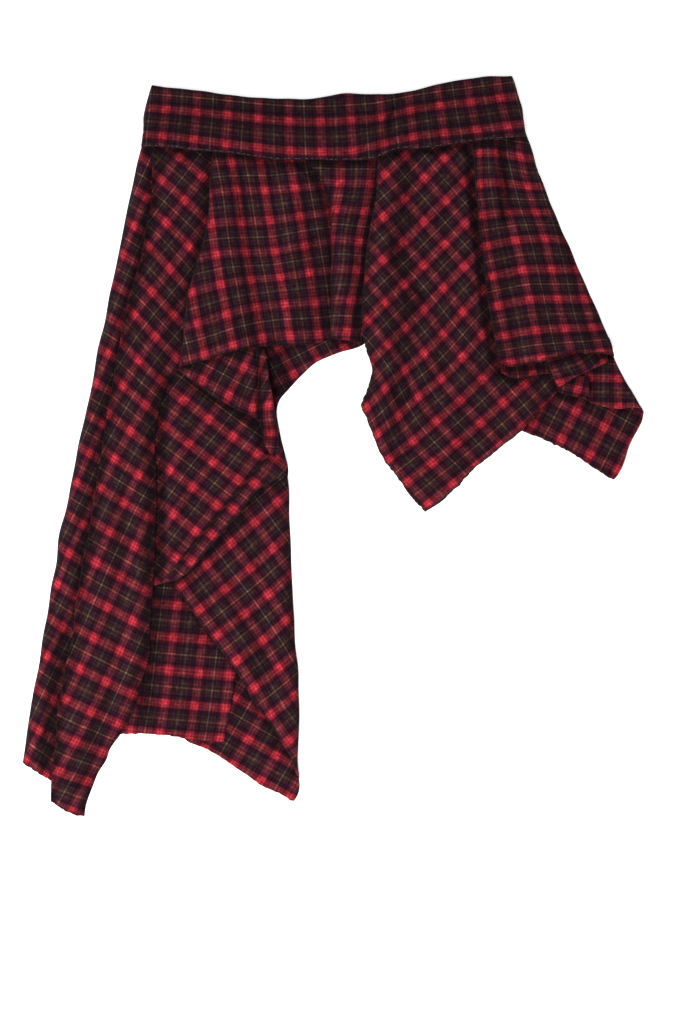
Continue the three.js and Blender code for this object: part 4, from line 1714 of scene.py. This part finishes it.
@dataclass
class RightFront:
    """The bias panel with its point, the outer panel and the small pieces below its hem."""

    bias_loft: float = 4.6
    side_loft: float = 3.6
    under_hem_loft: float = 1.2
    hem_turnup_loft: float = 1.6
    hem_curl_loft: float = 0.6
    godet_loft: float = 1.4
    point_loft: float = 0.8
    small_step: float = 2.0  # spacing of the rows of the small pieces

    def pieces(self) -> list[ClothPiece]:
        """Cuts the pieces, from the table up.

        Returns:
            The pieces.
        """
        return [
            self.point(),
            self.godet(),
            self.bias(),
            self.hem_curl(),
            self.under_hem(),
            self.hem_turnup(),
            self.side(),
        ]

    def bias(self) -> ClothPiece:
        """Cuts the front panel on the bias, ending in a point.

        Returns:
            The piece.
        """
        return ClothPiece(
            "right_bias_panel",
            sections(
                (378, 147, 500, 134), (376, 200, 505, 190), (369, 237, 508, 235),
                (364, 285, 512, 282), (363, 329, 518, 328), (368, 355, 530, 350),
                (372.5, 371, 541, 362), (366, 392, 553, 377), (360.8, 407, 556, 391),
                (368, 421, 546, 403.5), (376, 443, 533, 419), (388, 465, 521, 431.5),
                (403, 485, 494, 452), (414.5, 499, 468, 475), (425, 511.5, 441, 502),
            ),
            Grain(
                (385, 176, -1, 1), (444, 159, 0, 3), (464, 183, 1, 3), (383, 218, 0, 0),
                (445, 202, 1, 2), (403, 243, 1, 0), (464, 267, 3, 1), (383, 261, 1, -1),
                (443, 335, 4, -1), (385, 303, 2, -2), (482, 335, 5, 0), (405, 370, 4, -3),
                (482, 379, 6, -1), (441, 379, 5, -2), (366, 408, 4, -5), (418, 397, 5, -3),
                (413, 441, 6, -4), (480, 423, 7, -2), (524, 384, 7, 0), (389, 459, 6, -5),
                (453, 484, 8, -4), (428, 504, 8, -5),
            ),
            rests_on=("centre_pleat", "right_back", "right_point"),
            roll={Edge.A: Roll(12), Edge.B: Roll(10, soft=True), Edge.HEM: Roll(6, soft=True)},
            fray={Edge.A: 0.5, Edge.B: 1.7},
            loft=self.bias_loft,
            creases=folds(
                (410, 145, 399, 250, 30, -3.4), (399, 250, 413, 300, 30, -3.4),
                (413, 300, 400, 390, 36, -4), (400, 390, 396, 450, 36, -3.4),
                (382, 235, 380, 335, 26, 3), (430, 160, 438, 300, 26, 1.6),
                (458, 200, 462, 380, 50, 3), (446, 390, 434, 490, 46, 2.4),
                (474, 145, 500, 365, 30, -5), (535, 360, 545, 400, 40, -3.6),
            ),
        )

    def side(self) -> ClothPiece:
        """Cuts the outer front panel, with its curled hem.

        Returns:
            The piece.
        """
        return ClothPiece(
            "right_side_panel",
            sections(
                (472, 135, 524.5, 130), (476, 188, 543, 185), (480.5, 237, 564, 237),
                (485, 275, 579, 272), (490, 312, 596, 308), (495, 342, 608, 339),
                (500, 364, 613.5, 356),
            ),
            Grain(
                (479, 154, 0, 0), (496, 154, 0, 1), (520, 158, 0, 2), (479, 185, 1, 0),
                (501, 184, 1, 1), (527, 187, 1, 2), (482, 216, 2, 0), (535, 213, 2, 2),
                (486, 247, 3, 0), (515, 241, 3, 1), (544, 239, 3, 2), (492, 277, 4, 0),
                (551, 270, 4, 2), (498, 306, 5, 0), (529, 300, 5, 1), (584, 299, 5, 3),
                (505, 336, 6, 0), (564, 329, 6, 2), (592, 328, 6, 3), (510, 363, 7, 0),
                (541, 359, 7, 1), (600, 353, 7, 3),
            ),
            rests_on=("right_bias_panel", "right_back"),
            roll={Edge.A: Roll(9), Edge.B: Roll(13), Edge.HEM: Roll(3, soft=True)},
            fray={Edge.HEM: 0.7},
            loft=self.side_loft,
            held=Held.FOLDED,
            hem_bow=bows(
                (0, 0), (0.1, 4.4), (0.24, 1), (0.36, 1), (0.5, -4), (0.62, -7), (0.78, -4),
                (0.88, -4.6), (0.95, -2.6), (1, 0),
            ),
            creases=folds(
                (501, 130, 506, 215, 18, -4.4), (489, 150, 500, 340, 22, 1.8),
                (519, 225, 532, 350, 40, 3.4), (560, 205, 590, 335, 34, -4),
                (534, 150, 552, 215, 20, 1.6), (505, 372, 545, 366, 20, 1.6),
            ),
        )

    def under_hem(self) -> ClothPiece:
        """Cuts the sliver of hem of the layer below the outer panel.

        Returns:
            The piece.
        """
        return ClothPiece(
            "right_under_hem",
            sections(
                (500, 350, 501, 372), (513, 350, 512, 377), (532, 348, 531, 375.5),
                (553, 346, 554, 373),
            ),
            straight_grain((532, 374), (29, -2), (3, 29)),
            rests_on=("right_bias_panel",),
            roll={Edge.B: Roll(5)},
            loft=self.under_hem_loft,
            step=self.small_step,
        )

    def hem_turnup(self) -> ClothPiece:
        """Cuts the turned-up corner of that hem.

        Returns:
            The piece.
        """
        return ClothPiece(
            "right_hem_turnup",
            sections(
                (547, 348, 548, 362), (550.5, 347, 552.5, 375), (556, 346, 557.5, 387),
                (563, 346, 564.5, 383), (574, 344, 575, 376.5), (588, 344, 589, 371),
                (598, 343, 600, 366), (606, 346, 608, 361),
            ),
            Grain((588, 376, 0, 0), (572, 350, 1, 0), (560, 383, 0, 1), (603, 363, 0, -1)),
            rests_on=("right_bias_panel", "right_godet"),
            roll={Edge.B: Roll(6), Edge.TOP: Roll(4)},
            loft=self.hem_turnup_loft,
            held=Held.FOLDED,
            step=self.small_step,
        )

    def hem_curl(self) -> ClothPiece:
        """Cuts the small curled loop of hem below it.

        Returns:
            The piece.
        """
        return ClothPiece(
            "right_hem_curl",
            sections(
                (558, 379, 556, 391), (566, 377, 566, 394), (577, 376, 577, 396),
                (584, 376.5, 585.5, 396), (588, 378, 588.5, 393),
            ),
            straight_grain((577, 389), (27, 6), (-6, 27)),
            rests_on=("right_bias_panel", "right_point"),
            loft=self.hem_curl_loft,
            step=self.small_step,
        )

    def godet(self) -> ClothPiece:
        """Cuts the straight-grain insert at the outer edge.

        Returns:
            The piece.
        """
        return ClothPiece(
            "right_godet",
            sections(
                (588, 348, 609, 346), (584, 363, 614.5, 360), (584, 380, 624, 380),
                (588, 393, 632.5, 394), (590, 402.5, 640.5, 408),
            ),
            straight_grain((588, 377.5), (0, 28.5), (30, 1)),
            rests_on=("right_point",),
            roll={Edge.B: Roll(7)},
            loft=self.godet_loft,
            hem_bow=bows((0, 0), (0.3, 3.6), (0.57, 3.4), (0.85, -0.7), (1, 0)),
            step=self.small_step,
        )

    def point(self) -> ClothPiece:
        """Cuts the lower right point, with its overlocked hem.

        Returns:
            The piece.
        """
        return ClothPiece(
            "right_point",
            sections(
                (540, 376, 512, 422), (548, 372, 524, 431), (556, 370, 540, 437.5),
                (570, 368, 562, 448), (588, 368, 585, 461), (605, 378, 606, 475.5),
                (622, 392, 613, 479), (634, 400, 619, 470), (641, 407.5, 628.5, 447),
                (643.5, 412, 642, 420),
            ),
            straight_grain((561, 439), (28.5, 15.5), (14.5, -27.5)),
            roll={Edge.HEM: Roll(5)},
            fray={Edge.B: 0.6},
            loft=self.point_loft,
        )


# ---------------------------------------------------------------- laying and dressing

LAYING_ORDER = (
    "waistband_back", "left_back", "right_back", "corner_turn_under", "left_inner_panel",
    "corner_drape", "left_middle_drape", "crotch_piece", "left_side", "left_front_drape",
    "centre_panel", "centre_pleat", "right_point", "right_godet", "right_bias_panel",
    "right_hem_curl", "right_under_hem", "right_hem_turnup", "right_side_panel",
    "waistband_front",
)


@dataclass
class LaidSkirt:
    """All the pieces, laid on each other and sewn.

    The nap's colour carries painted shade and painted light: it is made paler where the cloth
    stands out from what is around it, and darker in hollows and beside higher cloth, where shade
    falls. edge_look holds how far around a point the steps between the pieces are averaged, and
    how high a step counts in full, and fold_looks the same for the folds. The table of painted
    shade and light adds painted shade in the deepest places and painted light in the palest.
    level_look is the shading painted on level cloth, and calm how many full steps make up the
    whole range.
    lifts is how far the top piece stands off what it lies on.
    """

    pieces: dict[str, ClothPiece]
    edge_look: tuple[float, float] = (3.0, 3.2)
    fold_looks: tuple[tuple[float, float], ...] = ((9.0, 2.2), (24.0, 4.5))
    level_look: float = 0.5
    calm: float = 5.0
    # cap of the painted light on the nap
    most_rubbed: float = 0.72
    lifts: TableMap = field(default_factory=TableMap)
    # painted shade along deep valleys, under edges and hems and across the top of the band, and
    # painted light in a few places: a negative height darkens, a positive one pales
    wear: Columns = field(
        default_factory=lambda: folds(
            (165, 380, 158, 440, 26, -0.28), (158, 440, 156, 600, 26, -0.42),
            (156, 600, 146, 716, 26, -0.42), (62, 640, 45, 765, 28, -0.34),
            (274, 346, 282, 386, 40, -0.5), (240, 408, 262, 432, 18, -0.24),
            (267, 453, 279, 452, 16, 0.26), (185, 375, 226, 401, 16, 0.14),
            (148, 160, 131, 262, 24, 0.2), (131, 262, 108, 360, 24, 0.2),
            (92, 740, 68, 800, 56, -0.12), (160, 115, 500, 108, 90, -0.17),
            (188, 600, 190, 735, 84, -0.16), (157, 440, 156, 600, 10, -0.2),
            (156, 600, 150, 700, 10, -0.2), (240, 690, 235, 745, 24, -0.2),
            (470, 142, 474, 172, 22, -0.4), (474, 172, 498, 360, 26, -0.16),
            (498, 368, 545, 362, 9, -0.42), (545, 362, 575, 353, 9, -0.42),
            (575, 353, 612, 355, 9, -0.42), (500, 374, 548, 370, 16, -0.3),
            (548, 365, 606, 358, 13, -0.14), (560, 397, 590, 400, 14, -0.3),
            (150, 157, 300, 168, 22, -0.12), (300, 168, 400, 160, 22, -0.12),
            (400, 160, 525, 146, 22, -0.12), (302, 164, 322, 190, 16, -0.3),
            (318, 180, 330, 216, 12, -0.24), (500, 138, 505, 212, 9, -0.3),
            (476, 150, 482, 210, 16, 0.1), (330, 220, 324, 335, 22, -0.1),
            (262, 705, 278, 745, 30, -0.16),
        )
    )

    def lay(self) -> TableMap:
        """Lays the pieces.

        Returns:
            The height of the cloth over the table.
        """
        order = [self.pieces[name] for name in LAYING_ORDER]
        covers = TableMap()
        for piece in reversed(order):
            piece.press_below(covers)
        laid = TableMap()
        for piece in order:
            piece.lay_on(laid)
            self.lifts.cover(piece.x, piece.y, piece.lift + LEAST_LIFT)
            top = piece.z.max() + piece.cloth
            log.info("%s: laid, %.1f to %.1f mm", piece.name, piece.z.min(), top)
        return laid

    def rubbing(self, laid: TableMap) -> Callable[[ClothPiece], np.ndarray]:
        """Makes the rule for the painted shade and painted light on the nap.

        Args:
            laid: The height of the cloth over the table.

        Returns:
            What gives the painted shading at each point of a piece, from 0 to 1.
        """
        covered = TableMap()
        covered.values = (laid.values > 0).astype(float)

        def around(heights: TableMap, reach: float) -> TableMap:
            """Averages the height of the cloth.

            Args:
                heights: The height in each cell.
                reach: How far around a cell is averaged.

            Returns:
                The mean height of the cloth around each cell.
            """
            mean, cover = heights.averaged(reach), covered.averaged(reach)
            mean.values = mean.values / np.maximum(cover.values, LEAST_COVER)
            return mean

        steps = around(laid, self.edge_look[0])
        waves = [(around(self.lifts, reach), depth) for reach, depth in self.fold_looks]

        def rule(piece: ClothPiece) -> np.ndarray:
            """Paints the shade and light of one piece.

            Args:
                piece: The piece.

            Returns:
                The painted shading of each of its points.
            """
            top, lift = piece.z + piece.cloth, piece.lift + LEAST_LIFT
            # painted shade beside higher cloth, where the steps between the pieces cast shade
            above = (top - steps.at(piece.x, piece.y)) / self.edge_look[1]
            # painted shade in the hollows of the folds and painted light on their ridges
            for mean, depth in waves:
                above = above + (lift - mean.at(piece.x, piece.y)) / depth
            # painted shade and painted light given one by one in the table
            painted_marks = fold_height(self.wear, piece.x, piece.y)
            return np.clip(self.level_look + above / self.calm + painted_marks, 0, self.most_rubbed)

        return rule

    def dress(self, laid: TableMap) -> None:
        """Makes the objects, with their cloth and their sewing.

        Args:
            laid: The height of the cloth over the table.
        """
        # painted shade and painted light for each piece
        rubbed = self.rubbing(laid)
        cloth = TartanCotton().material()
        made = {name: piece.dress(rubbed(piece), cloth) for name, piece in self.pieces.items()}
        sewn = self.sew()
        for name, piece in self.pieces.items():
            piece.declare(made[name], sewn.get(name, []))

    def sew(self) -> dict[str, list[bpy.types.Object]]:
        """Adds the stitches.

        Returns:
            The stitches, by the piece that they are on.
        """
        pale = SewingThread("pale_thread", (0.13, 0.085, 0.085, 1)).material()
        dark = SewingThread("dark_red_thread", (0.09, 0.012, 0.02, 1)).material()
        band = Stitching("band_seam_stitches", pitch=5.2, length=2.8, thickness=0.4, uneven=0.3)
        point = Stitching("point_hem_stitches", pitch=2.7, length=2.2, thickness=0.4, slant=60)
        rows = (("waistband_front", band, 0.3, pale), ("right_point", point, 0.8, dark))
        return {
            name: [stitching.sew(self.pieces[name].line_inside(Edge.B, inset), thread)]
            for name, stitching, inset, thread in rows
        }


# ---------------------------------------------------------------- studio


@dataclass
class Studio:
    """White floor, soft light from above, and a camera that looks straight down."""

    lens: float = 100.0  # millimetres
    sensor: float = 36.0
    image_height: float = 1.024  # metres of floor that the image's height covers
    look_at: tuple[float, float] = (0.00825, -0.06575)
    floor_size: float = 14.0
    floor_colour: Colour = (0.95, 0.95, 0.95, 1)
    floor_glow: float = 0.5
    floor_roughness: float = 0.9
    floor_gloss: float = 0.1
    room: float = 0.6  # light that comes from all around
    key_place: tuple[float, float, float] = (-1.0, -1.3, 1.5)
    key_size: float = 0.9
    key_watts: float = 58.0

    def build(self) -> None:
        """Makes the camera, the lights, the world and the floor."""
        scene = bpy.context.scene
        scene.view_settings.view_transform = "Standard"
        camera = bpy.data.cameras.new("camera")
        camera.lens, camera.sensor_width = self.lens, self.sensor
        holder = bpy.data.objects.new("camera", camera)
        scene.collection.objects.link(holder)
        holder.location = (*self.look_at, self.image_height * self.lens / self.sensor)
        scene.camera = holder
        world = bpy.data.worlds.new("soft_room")
        world.use_nodes = True
        background = world.node_tree.nodes["Background"]
        background.inputs["Color"].default_value = (1, 1, 1, 1)
        background.inputs["Strength"].default_value = self.room
        scene.world = world
        self.key_light()
        self.floor()

    def key_light(self) -> None:
        """Adds the square area light that points at the skirt."""
        light = bpy.data.lights.new("key", "AREA")
        light.size, light.energy = self.key_size, self.key_watts
        holder = bpy.data.objects.new("key", light)
        holder.location = self.key_place
        aim = Vector((*self.look_at, 0)) - Vector(self.key_place)
        holder.rotation_euler = aim.to_track_quat("-Z", "Y").to_euler()
        holder.visible_camera = False
        bpy.context.scene.collection.objects.link(holder)

    def floor(self) -> None:
        """Adds the plain white floor."""
        half = self.floor_size / 2
        mesh = bpy.data.meshes.new("floor")
        corners = [(-half, -half, 0), (half, -half, 0), (half, half, 0), (-half, half, 0)]
        mesh.from_pydata(corners, [], [(0, 1, 2, 3)])
        paper = bpy.data.materials.new("white_paper")
        paper.use_nodes = True
        surface = {
            "Base Color": self.floor_colour,
            "Roughness": self.floor_roughness,
            "Specular IOR Level": self.floor_gloss,
            "Emission Color": (1, 1, 1, 1),
            "Emission Strength": self.floor_glow,
        }
        for name, value in surface.items():
            paper.node_tree.nodes["Principled BSDF"].inputs[name].default_value = value
        mesh.materials.append(paper)
        thing = bpy.data.objects.new("floor", mesh)
        bpy.context.scene.collection.objects.link(thing)


def main() -> None:
    """Builds the studio and the skirt."""
    logging.basicConfig(level=logging.INFO, format="%(message)s")
    Studio().build()
    groups = (Waistband(), BackPanels(), LeftDrapes(), CentreFront(), RightFront())
    pieces = {piece.name: piece for group in groups for piece in group.pieces()}
    skirt = LaidSkirt(pieces)
    skirt.dress(skirt.lay())


if __name__ == "__main__":
    main()
